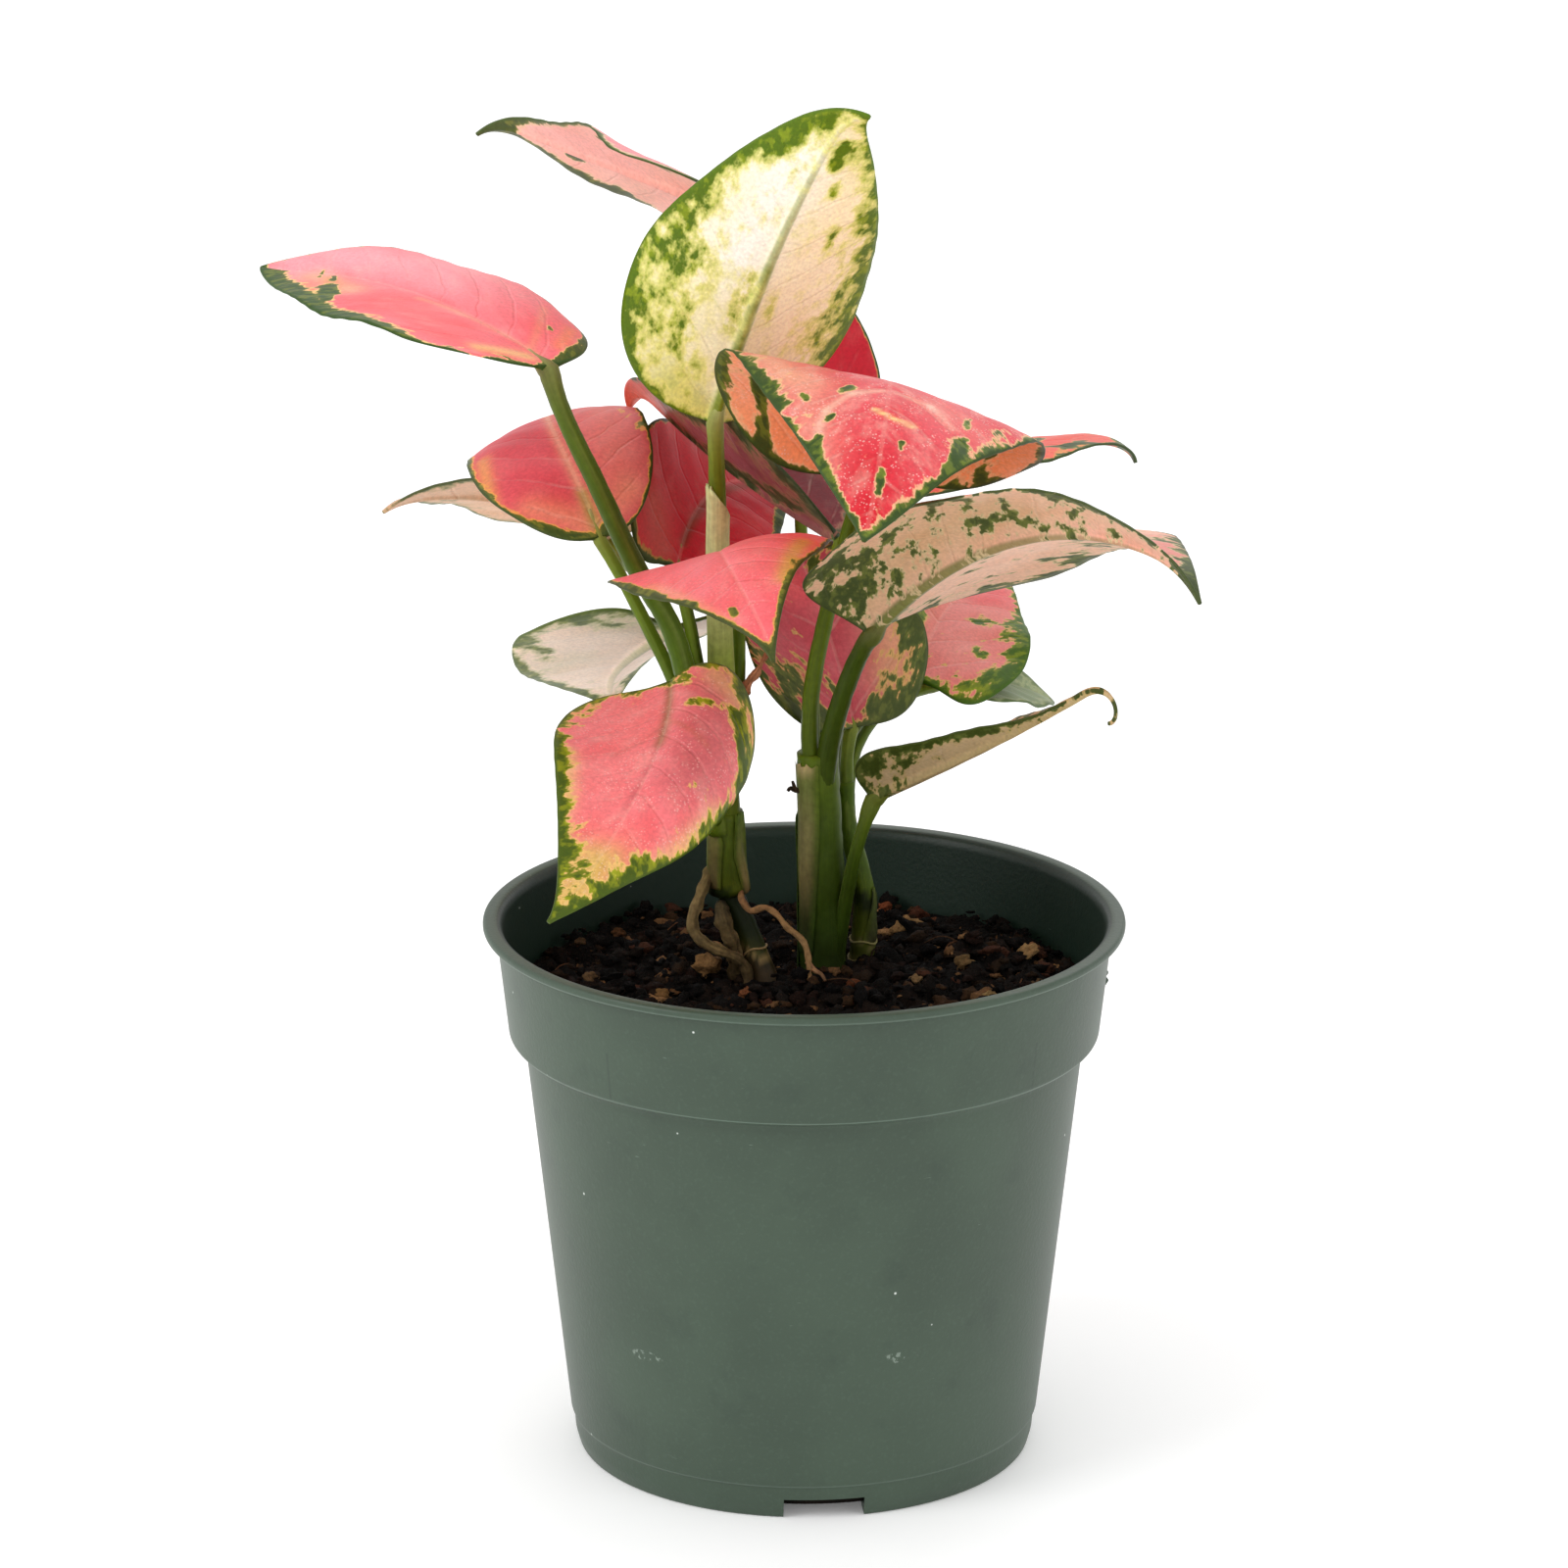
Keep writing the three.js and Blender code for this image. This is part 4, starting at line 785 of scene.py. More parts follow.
# Colours of the stalks by share from the top
GREEN = [(0, "76881a"), (0.12, "667913"), (0.6, "4f640e"), (1, "48590d")]
STALK_PAINT = {
    "leaf_crown": [(0, "8c9a1b"), (0.05, "747f0f"), (0.2, "5a6a0a"), (0.5, "525f0a"), (1, "535f0f")],
    "leaf_upper_left": [(0, "6f8019"), (0.04, "4c600e"), (0.4, "425609"), (0.7, "4c620f"), (1, "4c5c0d")],
    "leaf_crown_front": [(0, "5c6f15"), (0.3, "4f620e"), (0.7, "566812"), (1, "4a5a0f")],
    "leaf_long_right": [(0, "485812"), (0.3, "3a4c0c"), (1, "3c4c0c")],
    "leaf_lowest_right": [(0, "5c6c17"), (0.3, "4e6010"), (0.8, "42540c"), (1, "333f0a")],
}

# How much thicker some stalks are where the blade begins
FLARES = {"leaf_lowest_right": 0.55, "leaf_upper_left": 0.25, "leaf_long_right": 0.2}

# Colours of each cane by height in millimetres
CANE_PAINT = {
    "shoot_left": [(71, "1c140c"), (79, "2e2418"), (82, "3a2e1c"), (84, "262212"), (84.2, "7c6840"),
                   (84.8, "7c6840"), (85.2, "33350b"), (88.5, "1a2209"), (94.6, "161e08"), (95.4, "242e09"),
                   (95.9, "4a5210"), (99, "414c0e"), (109, "4c5c10")],
    "shoot_middle": [(71, "1c2408"), (84, "202c09"), (89, "2b3c0a"), (96, "32420b"), (106, "435710"),
                     (119, "566a12")],
    "shoot_right": [(71, "1e1e10"), (80.5, "33360f"), (81.2, "6a6238"), (81.6, "33360f"), (84, "3a4010"),
                    (84.6, "746a42"), (85.2, "464e11"), (89.5, "3c440f"), (90.5, "1c2409"),
                    (93.4, "1c2409"), (94.1, "4c5c11"), (98, "445812"), (112, "4a6212")],
}

# Leaf scars that ring a cane: centre, direction of the cane, radius, colour
NODE_RINGS = {
    "shoot_left": [((-8.5, 6.9, 84.6), (0.4, -0.3, -1), 2.3, "86704a")],
    "shoot_right": [((10.1, 12.8, 84.6), (-0.1, 0, -1), 2.25, "7c7448"),
                    ((9.85, 12.8, 81.3), (-0.1, 0, -1), 2.3, "6c643e")],
}


def stalk_line(leaf_name, path):
    """Centre line from just inside the blade to the foot, in millimetres."""
    points = [np.array(p, float) for p in path]
    if not leaf_name:
        return spline(points)
    leaf = LEAVES[leaf_name]
    along, _, up = (a[0] for a in blade_frame(leaf, np.zeros(1)))
    low = np.array(leaf["base"]) - up * KEEL_DEPTH / 3
    line, length = even(spline([low - 0.6 * along, low - 2.4 * along, *points]), STALK_POINTS)
    # The top of the stalk leads straight into the rib: a smooth bend over its first part
    cut = int(STALK_POINTS * min(BEND_LENGTH / length, 0.5))
    end, ahead = line[cut], unit(line[cut] - line[cut + 6])
    top = low - 0.3 * up
    corner = end + ahead * 0.6 * np.linalg.norm(end - top)
    s = np.linspace(0, 1, 24)[:, None]
    bend = (1 - s) ** 2 * top + 2 * s * (1 - s) * corner + s**2 * end
    under = [low + r * along + (0.02 * r * r - 0.3) * up for r in (RIB_LENGTH, 3.5, 1.8)]
    return np.concatenate([under, bend, line[cut + 1:]])


def painted(paint, share, colour):
    """The paint with a share of another colour laid over it."""
    return paint * (1 - share) + colour * share


def shoot(name):
    heap = Heap()
    for index, (leaf, top, foot, path) in enumerate(SHOOTS[name]):
        line = stalk_line(leaf, path)
        full = lengths(line)[-1]
        line, _ = even(line, max(12, int(full / STALK_STEP)))
        share = np.linspace(0, 1, len(line))
        radius = (top + (foot - top) * share) / 2
        if not leaf:
            points, faces, info = tube(line, radius, rough=STALK_ROUGHNESS, seed=index)
            paint = shade(CANE_PAINT[name], points[:, 2] + 0.8 * np.cos(info[:, 1] * 2 + 1))
            heap.add(points, faces, info, paint)
            continue
        # An end that runs out under the rib, and a channel along the upper side
        run = share * lengths(line)[-1]
        radius = radius * (0.25 + 0.75 * smooth(run, -1, RIB_LENGTH + 0.5))
        radius = radius * (1 + FLARES.get(leaf, 0.15) * bell(run - RIB_LENGTH, 3.5))
        upward = blade_frame(LEAVES[leaf], np.zeros(1))[2][0]
        points, faces, info = tube(line, radius, upward, rough=STALK_ROUGHNESS, seed=index,
                                   channel=CHANNEL_DEPTH)
        look = look_of(leaf)
        tip = look["neck"] * np.exp(-info[:, 2:] / (0.7 * RIB_LENGTH))
        paint = painted(shade(STALK_PAINT.get(leaf, GREEN), info[:, 0]), tip, rgb(look["under"]))
        fade = smooth(points[:, 2], 100, 112)[:, None]
        paint = painted(shade(CANE_PAINT[name], points[:, 2]), fade, paint)
        # The channel's edges carry a painted highlight: a paler line along each
        rim = 0.3 * bell(np.abs(off_front(info[:, 1:2])) - 0.75, 0.16)
        heap.add(points, faces, info, painted(paint, rim, rgb("9fae5c")))
    for ring in NODE_RINGS.get(name, ()):
        node_ring(heap, *ring)
    return dress(heap.build(name + "_stalks", tissue_material(name + "_tissue")), "stalk_green", name)


def node_ring(heap, centre, direction, radius, colour):
    direction = unit(np.array(direction, float))
    side = unit(np.cross(direction, (0, 1, 0.1)))
    angle = np.linspace(0, 2 * math.pi, 49)[:, None]
    line = centre + radius * (np.cos(angle) * side + np.sin(angle) * np.cross(direction, side))
    line = line + direction * 0.25 * np.sin(3 * angle)
    heap.tube(line, np.full(49, 0.2), [(0, colour)], start=direction, sides=8, rough=0.3, seed=5)


def sheath(line, radius, left, right, thick, ragged, seed, lift):
    """A thin wrap round part of a cane, between two angles (0 = front, 90 = left) given per row."""
    ahead, side, other = carried(line, np.array((0, -1, 0), float))
    share = np.linspace(0, 1, SHEATH_ROWS)
    columns = np.arange(SHEATH_COLUMNS)
    turn = np.radians(left + (right - left) * np.linspace(0, 1, SHEATH_COLUMNS)[:, None]).T
    wave = np.array([[noise.noise(Vector((3 * s, 0.15 * c, seed))) for c in columns] for s in share])
    edge = np.abs(np.linspace(-1, 1, SHEATH_COLUMNS))[None] ** 6
    reach = radius[:, None] + 0.25 * wave + lift * edge * (1 - share)[:, None]
    tear = np.sin(columns * 1.3 + seed) + 0.6 * np.sin(columns * 2.9)
    slip = ragged * np.exp(-share / 0.1)[:, None] * tear
    ring = side[:, None] * np.cos(turn)[..., None] + other[:, None] * np.sin(turn)[..., None]
    inner = line[:, None] + ring * reach[..., None] + ahead[:, None] * slip[..., None]
    info = np.stack([share[:, None] + 0 * turn, turn, share[:, None] * 20 + 0 * turn], -1)
    return flat(inner, inner + ring * thick), slab_faces(*turn.shape), flat(info, info)


def wrap(name, shoot_name, index, low, high, extra, angles, stops, ragged, seed, lift=0.05, fade=0.9):
    """One sheath on a stalk between two heights, coloured by share from its top."""
    leaf, top, foot, path = SHOOTS[shoot_name][index]
    full, _ = even(stalk_line(leaf, path), WRAP_POINTS)
    keep = (full[:, 2] >= low) & (full[:, 2] <= high)
    line, share = full[keep], np.linspace(0, 1, WRAP_POINTS)[keep]
    pick = np.linspace(0, len(line) - 1, SHEATH_ROWS)
    radius = np.interp(pick, range(len(line)), (top + (foot - top) * share) / 2) + extra
    line = resample(line, range(len(line)), pick)
    shares, *edges = zip(*angles)
    left, right = (np.interp(np.linspace(0, 1, SHEATH_ROWS), shares, edge) for edge in edges)
    points, faces, info = sheath(line, radius, left, right, 0.08 if fade else 0.22, ragged, seed, lift)
    # Its colour runs into the cane's towards both edges
    across = np.abs(np.linspace(-1, 1, SHEATH_COLUMNS))
    across = fade * np.tile(smooth(across, 0.3, 0.95), 2 * SHEATH_ROWS)[:, None]
    cane = shade(CANE_PAINT[shoot_name], points[:, 2])
    heap = Heap()
    heap.add(points, faces, info, painted(shade(stops, info[:, 0]), across, cane))
    obj = heap.build(name, tissue_material(name + "_tissue", gloss=0.6, streak=0.5, grain=0.2, relief=0.5))
    tidy_normals(obj)
    return dress(obj, "stalk_green")


def sheaths():
    """Pale and dried leaf sheaths round the stalks, widest at their foot."""
    wrap("crown_sheath", "shoot_left", 1, 118, 166.5, 0.12,
         [(0, 100, 20), (0.12, 115, -95), (1, 120, -120)],
         [(0, "c3c58a"), (0.15, "bfbc84"), (0.4, "b3b274"), (0.62, "828e3c"), (1, "5c6c22")], 0.4, 1, 0.2, 0)
    wrap("left_cane_membrane", "shoot_left", 9, 96, 109, 0.1, [(0, 80, 30), (0.4, 75, 5), (1, 70, 20)],
         [(0, "5c5c28"), (0.5, "5c5429"), (1, "463a20")], 0.25, 2)
    wrap("left_cane_tongue", "shoot_left", 9, 94.6, 112, 0.12,
         [(0, -30, -72), (0.5, -25, -85), (1, -45, -80)],
         [(0, "566a2a"), (0.4, "6a6c38"), (0.8, "806f44"), (1, "6c5634")], 0.25, 3, 0.1)
    wrap("middle_membrane", "shoot_middle", 5, 84, 117.5, 0.12, [(0, 88, -2), (0.3, 92, 0), (1, 88, 25)],
         [(0, "b0a070"), (0.03, "a09460"), (0.08, "6a7438"), (0.35, "7c7648"), (0.6, "6c623a"),
          (0.8, "333616"), (1, "24300f")], 0.3, 4)
    wrap("middle_back_sheath", "shoot_middle", 5, 76, 108, 0.3, [(0, 130, 88), (0.4, 140, 80), (1, 140, 70)],
         [(0, "50641f"), (0.5, "34481a"), (1, "1e2c14")], 0.3, 6, 0.1)
    wrap("right_cane_remnant", "shoot_right", 4, 84.5, 93.6, 0.1,
         [(0, -50, -75), (0.5, -20, -110), (1, 10, -120)],
         [(0, "4c5424"), (0.5, "3c4420"), (1, "302f18")], 0.25, 5)


def roots():
    for index, (name, (top, foot, path, bark)) in enumerate(ROOTS.items()):
        line, length = even(spline(path), ROOT_ROWS)
        share = np.linspace(0, 1, ROOT_ROWS)
        radius = (top + (foot - top) * share) / 2 * (0.55 + 0.45 * smooth(share * length, 0, 1.5))
        radius = radius * (1 + 0.1 * np.sin(share * length * 1.9 + index))
        heap = Heap()
        slim = 0.82 if name == "root_brown" else 1
        heap.tube(line, slim * radius, bark, rough=0.22, seed=10 + index, sides=ROOT_SIDES)
        if name == "root_brown":
            fork = spline([(0.5, 1.5, 84.4), (1.6, 0.6, 83.2), (2.9, 0, 82.6), (3.6, -0.6, 81.6)], 8)
            heap.tube(fork, np.linspace(0.5, 0.25, len(fork)), [(0, "9c7350"), (1, "7a5a40")],
                      rough=0.25, seed=3, sides=10)
        material = tissue_material(name + "_bark", gloss=0.75, streak=0.35, grain=0.45, relief=0.8)
        dress(heap.build(name + "_bark", material), "root", name)


def dried_bits():
    """A shrivelled flower stalk on the left shoot and a broken twig on the middle one."""
    heap = Heap()
    line, _ = even(spline([(-12, 13.2, 125.4), (-10.6, 12.2, 127.8), (-9.6, 11.4, 130.2), (-8.2, 11.2, 132),
                           (-6.9, 11.3, 134.2), (-6.2, 11.6, 135.4)]), 40)
    share = np.linspace(0, 1, 40)
    heap.tube(line, 0.68 + 0.28 * np.sin(share * 5) + 0.12 * np.sin(share * 21),
              [(0, "8a5a3a"), (0.4, "b5714f"), (0.7, "c48560"), (1, "a8674a")], rough=0.35, seed=21, sides=14)
    dress(heap.build("dried_flower_stalk", tissue_material("dried_tissue", 0.7, 0.5, 0.3, 0.8)), "root")
    heap = Heap()
    line, _ = even(spline([(0.4, 7.6, 112.4), (-1.4, 7.2, 112.8), (-2.3, 7.1, 113.2), (-2.8, 7, 112.7)]), 20)
    heap.tube(line, np.linspace(0.5, 0.28, 20), [(0, "4a3a28"), (1, "2c2018")], rough=0.5, seed=31, sides=10)
    line, _ = even(spline([(-1.4, 7.2, 112.8), (-1.8, 7, 113.8), (-2, 6.9, 114.5)]), 10)
    heap.tube(line, np.linspace(0.4, 0.2, 10), [(0, "4a3a28"), (1, "35281c")], rough=0.5, seed=33, sides=10)
    dress(heap.build("broken_twig", tissue_material("twig_tissue", 0.8, 0.5, 0.3, 0.8)), "root")


def soil_top(x, y):
    rough = (np.sin(0.31 * x + 1.3) * np.cos(0.27 * y - 0.4) + 0.6 * np.sin(0.55 * x - 0.62 * y + 2.1)
             + 0.35 * np.cos(0.9 * x + 0.8 * y))
    heap = 2 * np.exp(-((x - 27) ** 2 + (y - 16) ** 2) / 90)
    return SOIL_LEVEL + SOIL_BUMP * rough + heap


def crumb_material():
    """Dull and rough, in the colour that each crumb carries."""
    g = Graph("potting_mix_crumbs")
    place = g.place()
    fine, coarse = g.noise(place, 1.6, 5), g.noise(place, 0.45)
    value = g.math("MAXIMUM", (fine - 0.5) * 1.2 + 1 + (coarse - 0.5) * 0.9, 0.15)
    g.set(Base_Color=g.scaled(g.paint("paint"), value), Specular_IOR_Level=0.1,
          Roughness=g.blend(fine, 0.75, 0.93))
    g.bump(fine + coarse, 0.9, 0.0012)
    return g.material


def crumb(size, centre, stretch, turn, detail, seed):
    """A small angular lump."""
    shape = bmesh.new()
    bmesh.ops.create_icosphere(shape, subdivisions=detail, radius=1)
    points = np.array([v.co[:] for v in shape.verts])
    faces = [tuple(v.index for v in f.verts) for f in shape.faces]
    shape.free()
    bumps = np.array([noise.noise(Vector(p * 1.4) + Vector((seed, 0, 0))) for p in points])
    points = points * (1 + 0.9 * bumps)[:, None] * stretch * size
    c, s = math.cos(turn), math.sin(turn)
    points = points @ np.array([[c, s, 0], [-s, c, 0], [0, 0, 1]])
    tilt = math.sin(seed * 3) * 0.6
    c, s = math.cos(tilt), math.sin(tilt)
    return points @ np.array([[1, 0, 0], [0, c, s], [0, -s, c]]) + centre, faces


# Colours of the crumbs, with how common each is
CRUMB_TONES = {"080605": 20, "0e0a07": 20, "17100b": 18, "261a10": 12, "382616": 7, "1c0f09": 13,
               "40261a": 3.5, "6a4c30": 3.2, "8e6a46": 2.2, "0b0806": 12}
FIBRE_TONES = ["4a3424", "60402a", "30221a"]

# Bigger pale lumps that show on top: x, y, size, colour
LUMPS = [(18, 29, 1.9, "8a6a44"), (38, 14, 1.6, "94744c"), (-17, 5, 2.3, "7c5c38"), (14, 41, 1.1, "6c3a22"),
         (20, 38, 1.5, "48281a"), (23, 36, 1.2, "5c3622"), (-24, -5, 1.2, "70522f"), (-10, -9, 1, "6e4228"),
         (-32, 29, 1.2, "5a3c24"), (-30, 24, 1, "66462c"), (39, 18, 1.1, "7e5638"), (39, -2, 1.2, "54402a"),
         (8, 0, 1.1, "5e341e"), (27, 8, 1.3, "6e5636"), (19, 0, 1, "7a6040"), (34, 26, 1, "6c4a2e"),
         (-36, 0, 1, "5e4830"), (-38, 20, 1, "4a3622"), (-3, -18, 1.1, "54402a"), (31, -10, 0.9, "8a7048")]


def turned(profile, sides):
    """Points of a profile of (radius, height) turned round the pot's axis."""
    return [(r * math.cos(a), r * math.sin(a), z) for r, z in profile for a in around(sides)]


def rim_drop(r):
    """0 inside, rising to 1 where the mix meets the wall."""
    return smooth(r, MIX_RADIUS - 4, MIX_RADIUS)


def potting_mix():
    rng = np.random.default_rng(MIX_SEED)
    body = [(0.5, FLOOR_THICKNESS + 0.4), (FOOT_RADIUS - 1.2, FLOOR_THICKNESS + 0.4),
            (SHOULDER_RADIUS - 1.8, SHOULDER_HEIGHT), (BAND_RADIUS - 1.9, SHOULDER_HEIGHT + 1.3),
            (BAND_RADIUS - 1.5, SHOULDER_HEIGHT + WALL + 0.1)]
    top = []
    for r in np.linspace(MIX_RADIUS, 0.6, MIX_RINGS):
        for x, y, _ in turned([(r, 0)], MIX_SIDES):
            fine = noise.fractal(Vector((x * 0.33, y * 0.33, 2)), 0.8, 2.1, 5)
            rise = soil_top(x, y) + 1.3 * fine - SOIL_LEVEL + 1
            top.append((x, y, SOIL_LEVEL - 1 + rise * (1 - rim_drop(r))))
    points = np.array(turned(body, MIX_SIDES) + top)
    patch = np.array([noise.noise(Vector(p * 0.18)) for p in points])
    paint = shade([(0, "0a0705"), (1, "1c130d")], smooth(patch, -0.1, 0.7))
    heap = Heap()
    heap.add(points, ring_faces(len(body) + MIX_RINGS, MIX_SIDES), np.zeros_like(points), paint)
    tones, common = list(CRUMB_TONES), np.array(list(CRUMB_TONES.values()))
    for i in range(CRUMBS):
        r, a = (MIX_RADIUS - 1.2) * math.sqrt(rng.random()), 2 * math.pi * rng.random()
        x, y = r * math.cos(a), r * math.sin(a)
        size = 0.24 + 1.15 * rng.random() ** 4
        stretch = np.array([1 + 0.8 * rng.random(), 0.7 + 0.4 * rng.random(), 0.5 + 0.4 * rng.random()])
        z = soil_top(x, y) + 0.9 * size * (rng.random() - 0.1) - rim_drop(r)
        lump = crumb(size, (x, y, z), stretch, 6.3 * rng.random(), 2 if size > 0.6 else 1, i * 0.37)
        heap.lump(*lump, tones[rng.choice(len(tones), p=common / common.sum())])
    for i, (x, y, size, colour) in enumerate(LUMPS):
        centre = (x, y, soil_top(x, y) + 0.5 * size)
        heap.lump(*crumb(size, centre, (1.2, 0.95, 0.8), i, 3, 50 + i), colour)
    for i in range(FIBRES):
        r, a = (MIX_RADIUS - 5) * math.sqrt(rng.random()), 2 * math.pi * rng.random()
        x, y, turn = r * math.cos(a), r * math.sin(a), 2 * math.pi * rng.random()
        step = np.array([math.cos(turn), math.sin(turn), 0]) * (1 + 1.6 * rng.random())
        bends = [(0, 0, 0), (0, 0, 0.9), (0.5, -0.4, 1), (0, 0, -0.4)]
        base = np.array([x, y, soil_top(x, y) + 0.2])
        line = spline([base + k * step + bend for k, bend in enumerate(bends)], 4)
        radius = np.linspace(0.16, 0.09, len(line))
        heap.tube(line, radius, [(0, FIBRE_TONES[i % 3])], start=(0, 0.2, 1), sides=6)
    return dress(heap.build("loose_mix", crumb_material()), "potting_mix", "potting_mix")


def rounded(profile):
    """The profile with its corners rounded off."""
    points = [np.array(p, float) for p in profile]
    out = [points[0]]
    for before, corner, after in zip(points, points[1:], points[2:]):
        a, b = (corner + way * min(0.45, CORNER_CUT / np.linalg.norm(way))
                for way in (before - corner, after - corner))
        for s in np.linspace(0, 1, 5):
            out.append((1 - s) ** 2 * a + 2 * s * (1 - s) * corner + s**2 * b)
    return out + [points[-1]]


def pot_material():
    """Satin injection-moulded plastic: green outside, darker inside as painted shade, with scuffs and dust.
    """
    g = Graph("pot_plastic")
    inside, _, _ = g.numbers("run")
    place = g.place()
    x, y, z = g.split(place)
    cloud, fine = g.noise(place, 0.035), g.noise(place, 1.4, 2)
    colour = g.mix(g.smooth(cloud, 0.35, 0.65), "38483a", "3e4f40")
    colour = g.mix(g.smooth(fine, 0.5, 0.75) * 0.12, colour, "566c5c")
    # Painted shade: the inner face takes a darker green, standing in for the shade inside the pot
    colour = g.mix(inside, colour, "1a2c22")
    # Fine light rings under the band, above the foot and under the lip: painted highlights where light
    # catches these edges
    for height, width, strength in (
            (SHOULDER_HEIGHT + 0.9, 0.22, 0.5), (6, 0.2, 0.35), (POT_HEIGHT - 1.2, 0.3, 0.35)):
        line = 1 - g.smooth(g.math("ABSOLUTE", z - height), 0, width)
        colour = g.mix(line * strength * (1 - inside), colour, "74897a")
    # Scratches: thin, broken, nearly level
    scratch = g.smooth(g.noise(g.join(x * 0.25, y * 0.25, z * 1.9), 1, 4, 0.65), 0.69, 0.74)
    scratch *= g.smooth(g.noise(place, 0.09, 2), 0.52, 0.62)
    colour = g.mix(scratch * 0.4, colour, "8b9f90")
    soiled = g.smooth(g.noise(place, 0.12, 4), 0.58, 0.72)
    colour = g.mix(soiled * 0.25, colour, "2b3a31")
    off_speck = g.node("TexVoronoi", {"Vector": place, "Scale": 0.11})[0]
    colour = g.mix((1 - g.smooth(off_speck, 0.015, 0.03)) * 0.8, colour, "e6ece6")
    # Two faint mould lines on the lower half of the band and two scuffs on the wall
    angle = g.math("ARCTAN2", x, y * -1) * 57.3
    low_band = g.math("GREATER_THAN", z, SHOULDER_HEIGHT + 1.2) * g.math("LESS_THAN", z, 82)
    for turn in (-39.5, 48.5):
        line = 1 - g.smooth(g.math("ABSOLUTE", angle - turn), 0.1, 0.4)
        colour = g.mix(line * low_band * 0.35, colour, "26332a")
    for turn, height in ((-38.5, 26.7), (21.7, 29)):
        across, up = (angle - turn) / 5, (z - height) / 1.1
        worn = 1 - g.smooth(across * across + up * up, 0.5, 1)
        worn *= g.smooth(g.noise(place, 1.1, 4), 0.54, 0.6)
        colour = g.mix(worn * 0.35, colour, "a9b8ab")
    g.set(Base_Color=colour, Roughness=g.blend(cloud, 0.38, 0.5) + scratch * 0.15, Specular_IOR_Level=0.4)
    g.bump(fine + cloud * 2, 0.12, 0.0004)
    return g.material


def cut_notch(obj, turn):
    """Cuts a drain notch into the foot at an angle round the pot's axis."""
    bpy.ops.mesh.primitive_cube_add(size=1)
    cutter = bpy.context.object
    cutter.scale = mm((20, NOTCH_WIDTH, 2 * NOTCH_HEIGHT))
    cutter.rotation_euler = (0, 0, turn)
    cutter.location = mm(((FOOT_RADIUS + 1) * math.cos(turn), (FOOT_RADIUS + 1) * math.sin(turn), 0))
    cut = obj.modifiers.new("notch", "BOOLEAN")
    cut.operation, cut.object, cut.solver = "DIFFERENCE", cutter, "EXACT"
    bpy.context.view_layer.update()
    graph = bpy.context.evaluated_depsgraph_get()
    mesh = bpy.data.meshes.new_from_object(obj.evaluated_get(graph))
    obj.modifiers.clear()
    obj.data = mesh
    bpy.data.objects.remove(cutter)


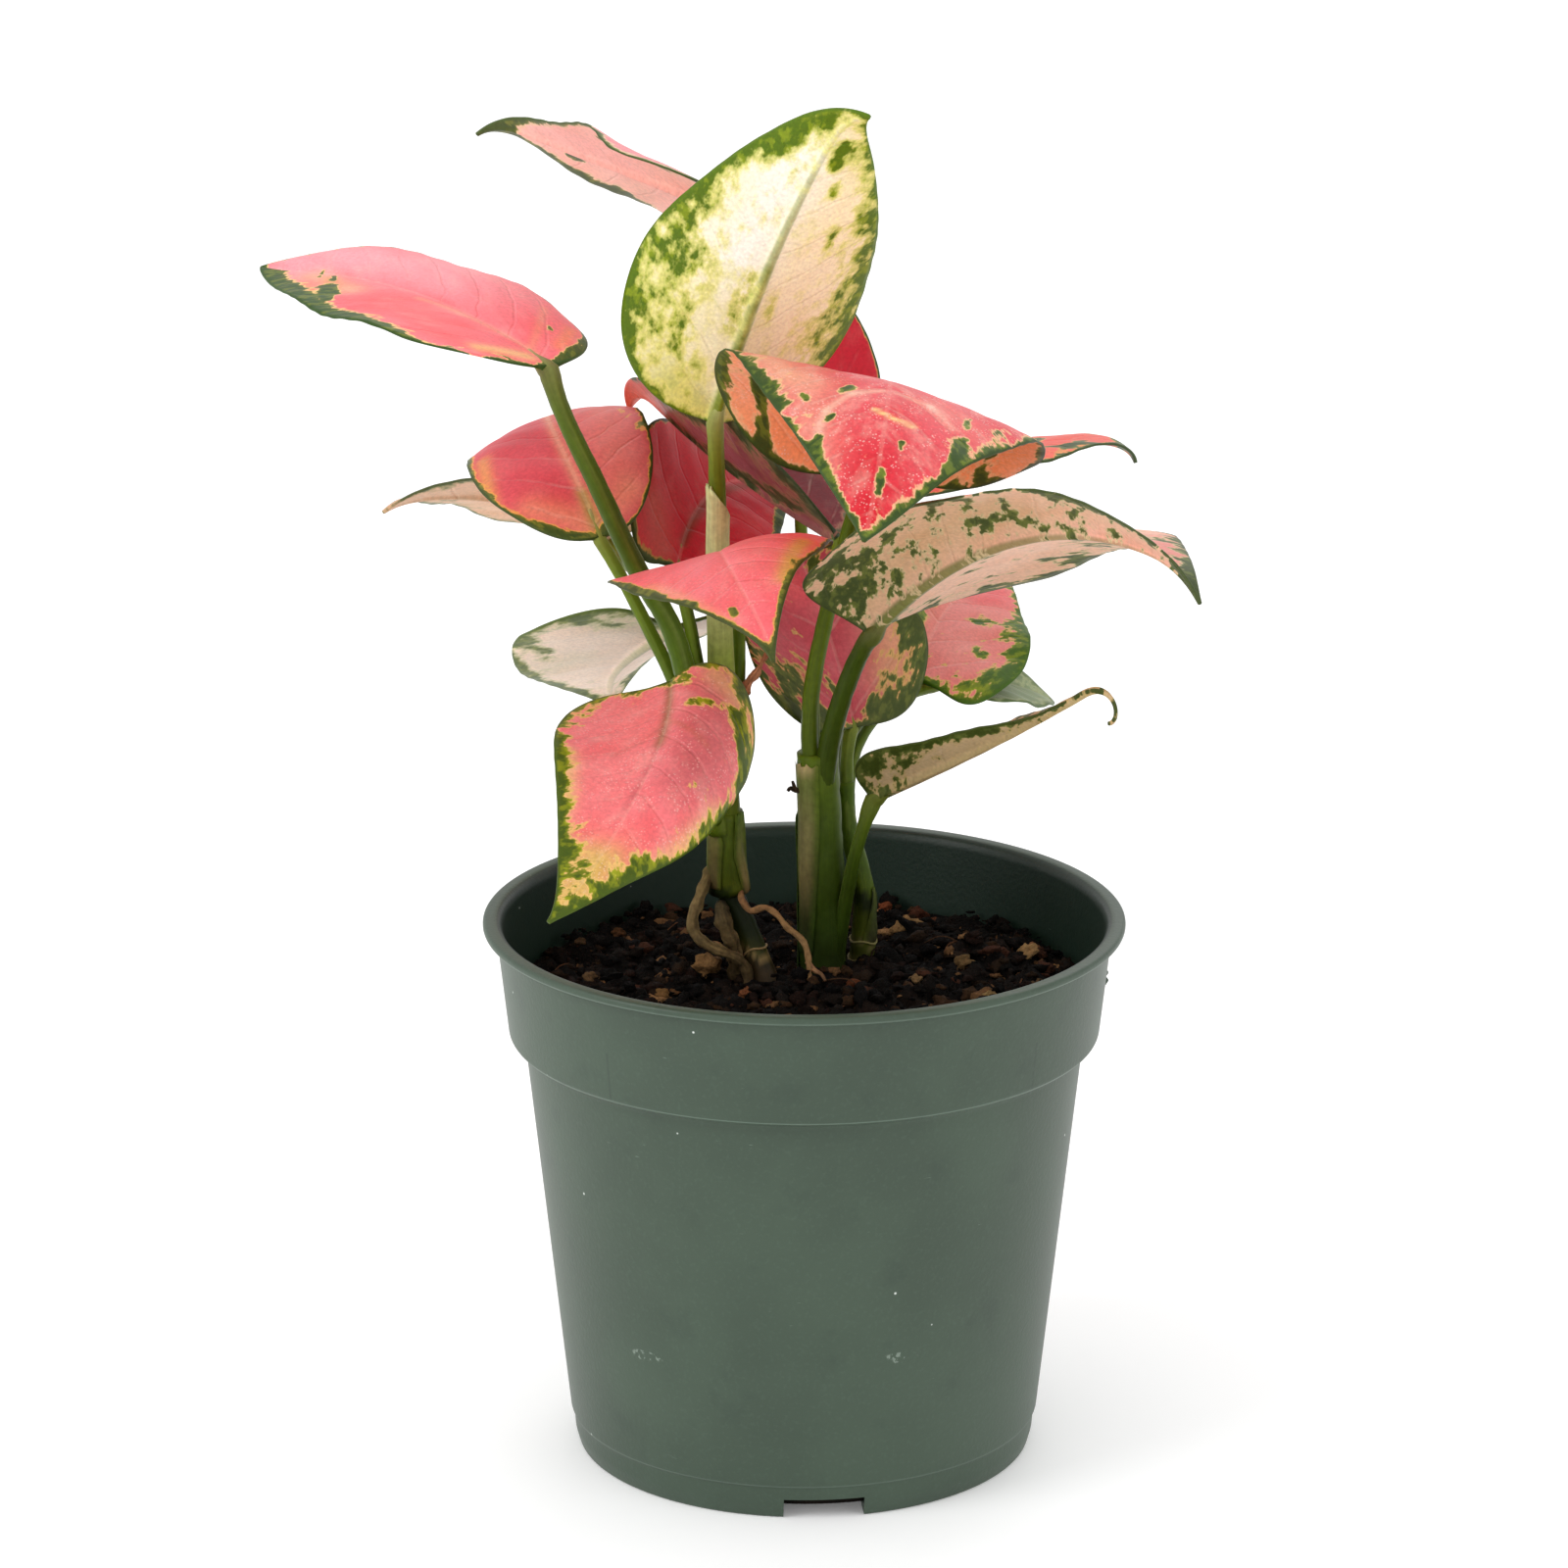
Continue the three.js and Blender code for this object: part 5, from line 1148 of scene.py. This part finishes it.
def pot():
    outside = [(0.01, 0), (FOOT_RADIUS, 0), (FOOT_RADIUS + 0.7, 2.5), (FOOT_RADIUS + 0.9, 5.6),
               (FOOT_RADIUS + 1.4, 6.1), (SHOULDER_RADIUS - 0.4, SHOULDER_HEIGHT - 1),
               (SHOULDER_RADIUS, SHOULDER_HEIGHT), (BAND_RADIUS - 0.6, SHOULDER_HEIGHT + 0.4),
               (BAND_RADIUS, SHOULDER_HEIGHT + 1), (BAND_RADIUS + 2, POT_HEIGHT - 1.7),
               (LIP_RADIUS - 0.4, POT_HEIGHT - 1.5), (LIP_RADIUS, POT_HEIGHT - 1.1),
               (LIP_RADIUS, POT_HEIGHT - 0.4), (LIP_RADIUS - 0.4, POT_HEIGHT)]
    inside = [(BAND_RADIUS + 2.2, POT_HEIGHT), (BAND_RADIUS + 1.3, POT_HEIGHT - 0.4),
              (BAND_RADIUS + 0.8, POT_HEIGHT - 1.5), (BAND_RADIUS - 1.1, SHOULDER_HEIGHT + WALL),
              (BAND_RADIUS - 1.5, SHOULDER_HEIGHT + 1), (SHOULDER_RADIUS - 1.4, SHOULDER_HEIGHT - 0.2),
              (FOOT_RADIUS - 0.3, FLOOR_THICKNESS + 0.8), (FOOT_RADIUS - 1.1, FLOOR_THICKNESS),
              (0.01, FLOOR_THICKNESS)]
    profile = rounded([*outside, *inside])
    faces = ring_faces(len(profile), POT_SIDES)
    obj = mesh_object("nursery_pot", turned(profile, POT_SIDES), faces, pot_material())
    tidy_normals(obj)
    for i in range(NOTCH_COUNT):
        cut_notch(obj, math.radians(NOTCH_TURN - 90 + 360 * i / NOTCH_COUNT))
    # The points of the inner face carry a 1, which the material turns into painted shade
    place = np.empty(len(obj.data.vertices) * 3)
    obj.data.vertices.foreach_get("co", place)
    x, y, z = place.reshape(-1, 3).T / MM
    wall = np.interp(z, [0, SHOULDER_HEIGHT, SHOULDER_HEIGHT + 1, POT_HEIGHT],
                     [FOOT_RADIUS - 0.6, SHOULDER_RADIUS - 0.8, BAND_RADIUS - 0.8, BAND_RADIUS + 1.9])
    inner_shade_points = (np.hypot(x, y) < wall) & (z > 1)
    layer = obj.data.attributes.new("run", "FLOAT_VECTOR", "POINT")
    layer.data.foreach_set("vector", np.repeat(inner_shade_points, 3).astype(np.float32))
    obj.data.polygons.foreach_set("use_smooth", [True] * len(obj.data.polygons))
    obj.data.set_sharp_from_angle(angle=math.radians(38))
    dress(obj, "pot", "pot")
    for i, centre in enumerate(((50.3, -3, 84.2), (50.2, -3.4, 82.6))):
        points, faces = crumb(0.65, centre, (1, 0.9, 1.2), 0, 3, 7 + i)
        dress(mesh_object(f"band_burr_{i + 1}", points, faces, obj.data.materials[0]), "pot")


def link(name, data):
    """A new object in the scene."""
    obj = bpy.data.objects.new(name, data)
    bpy.context.scene.collection.objects.link(obj)
    return obj


def studio():
    """A pale floor, soft lights and the camera."""
    bpy.ops.mesh.primitive_plane_add(size=14)
    floor = bpy.context.object
    floor.name = "floor"
    g = Graph("floor_paper")
    tone = g.mix(g.noise(g.place(), 0.01, 2), "fbfafa", "fefefe")
    g.set(Base_Color=tone, Roughness=0.7, Specular_IOR_Level=0.2, Emission_Color=tone, Emission_Strength=0.12)
    floor.data.materials.append(g.material)
    world = bpy.data.worlds.new("studio")
    world.use_nodes = True
    world.node_tree.nodes["Background"].inputs["Color"].default_value = (1, 1, 1, 1)
    world.node_tree.nodes["Background"].inputs["Strength"].default_value = 0.95
    scene = bpy.context.scene
    scene.world = world
    for name, place, size, power in (("key", (-1.1, -0.6, 0.9), 0.8, 7),
                                     ("fill", (0.95, -0.7, 0.75), 0.9, 1.4),
                                     ("back", (0.2, 1, 1.1), 0.9, 2.5)):
        light = bpy.data.lights.new(name, "AREA")
        light.shape, light.size, light.energy = "DISK", size, power
        lamp = link(name, light)
        lamp.location = place
        lamp.rotation_euler = (Vector((0, 0, 0.12)) - lamp.location).to_track_quat("-Z", "Y").to_euler()
    camera = bpy.data.cameras.new("camera")
    camera.lens, camera.sensor_width, camera.clip_end = LENS, SENSOR_WIDTH, 30
    scene.camera = link("camera", camera)
    scene.camera.location = mm(CAMERA_PLACE)
    scene.camera.rotation_euler = (math.radians(90 - CAMERA_PITCH), 0, 0)
    scene.view_settings.view_transform = "Standard"


studio()
pot()
potting_mix()
for shoot_name in SHOOTS:
    shoot(shoot_name)
sheaths()
roots()
dried_bits()
for leaf_name, leaf_shape in LEAVES.items():
    blade(leaf_name, leaf_shape)
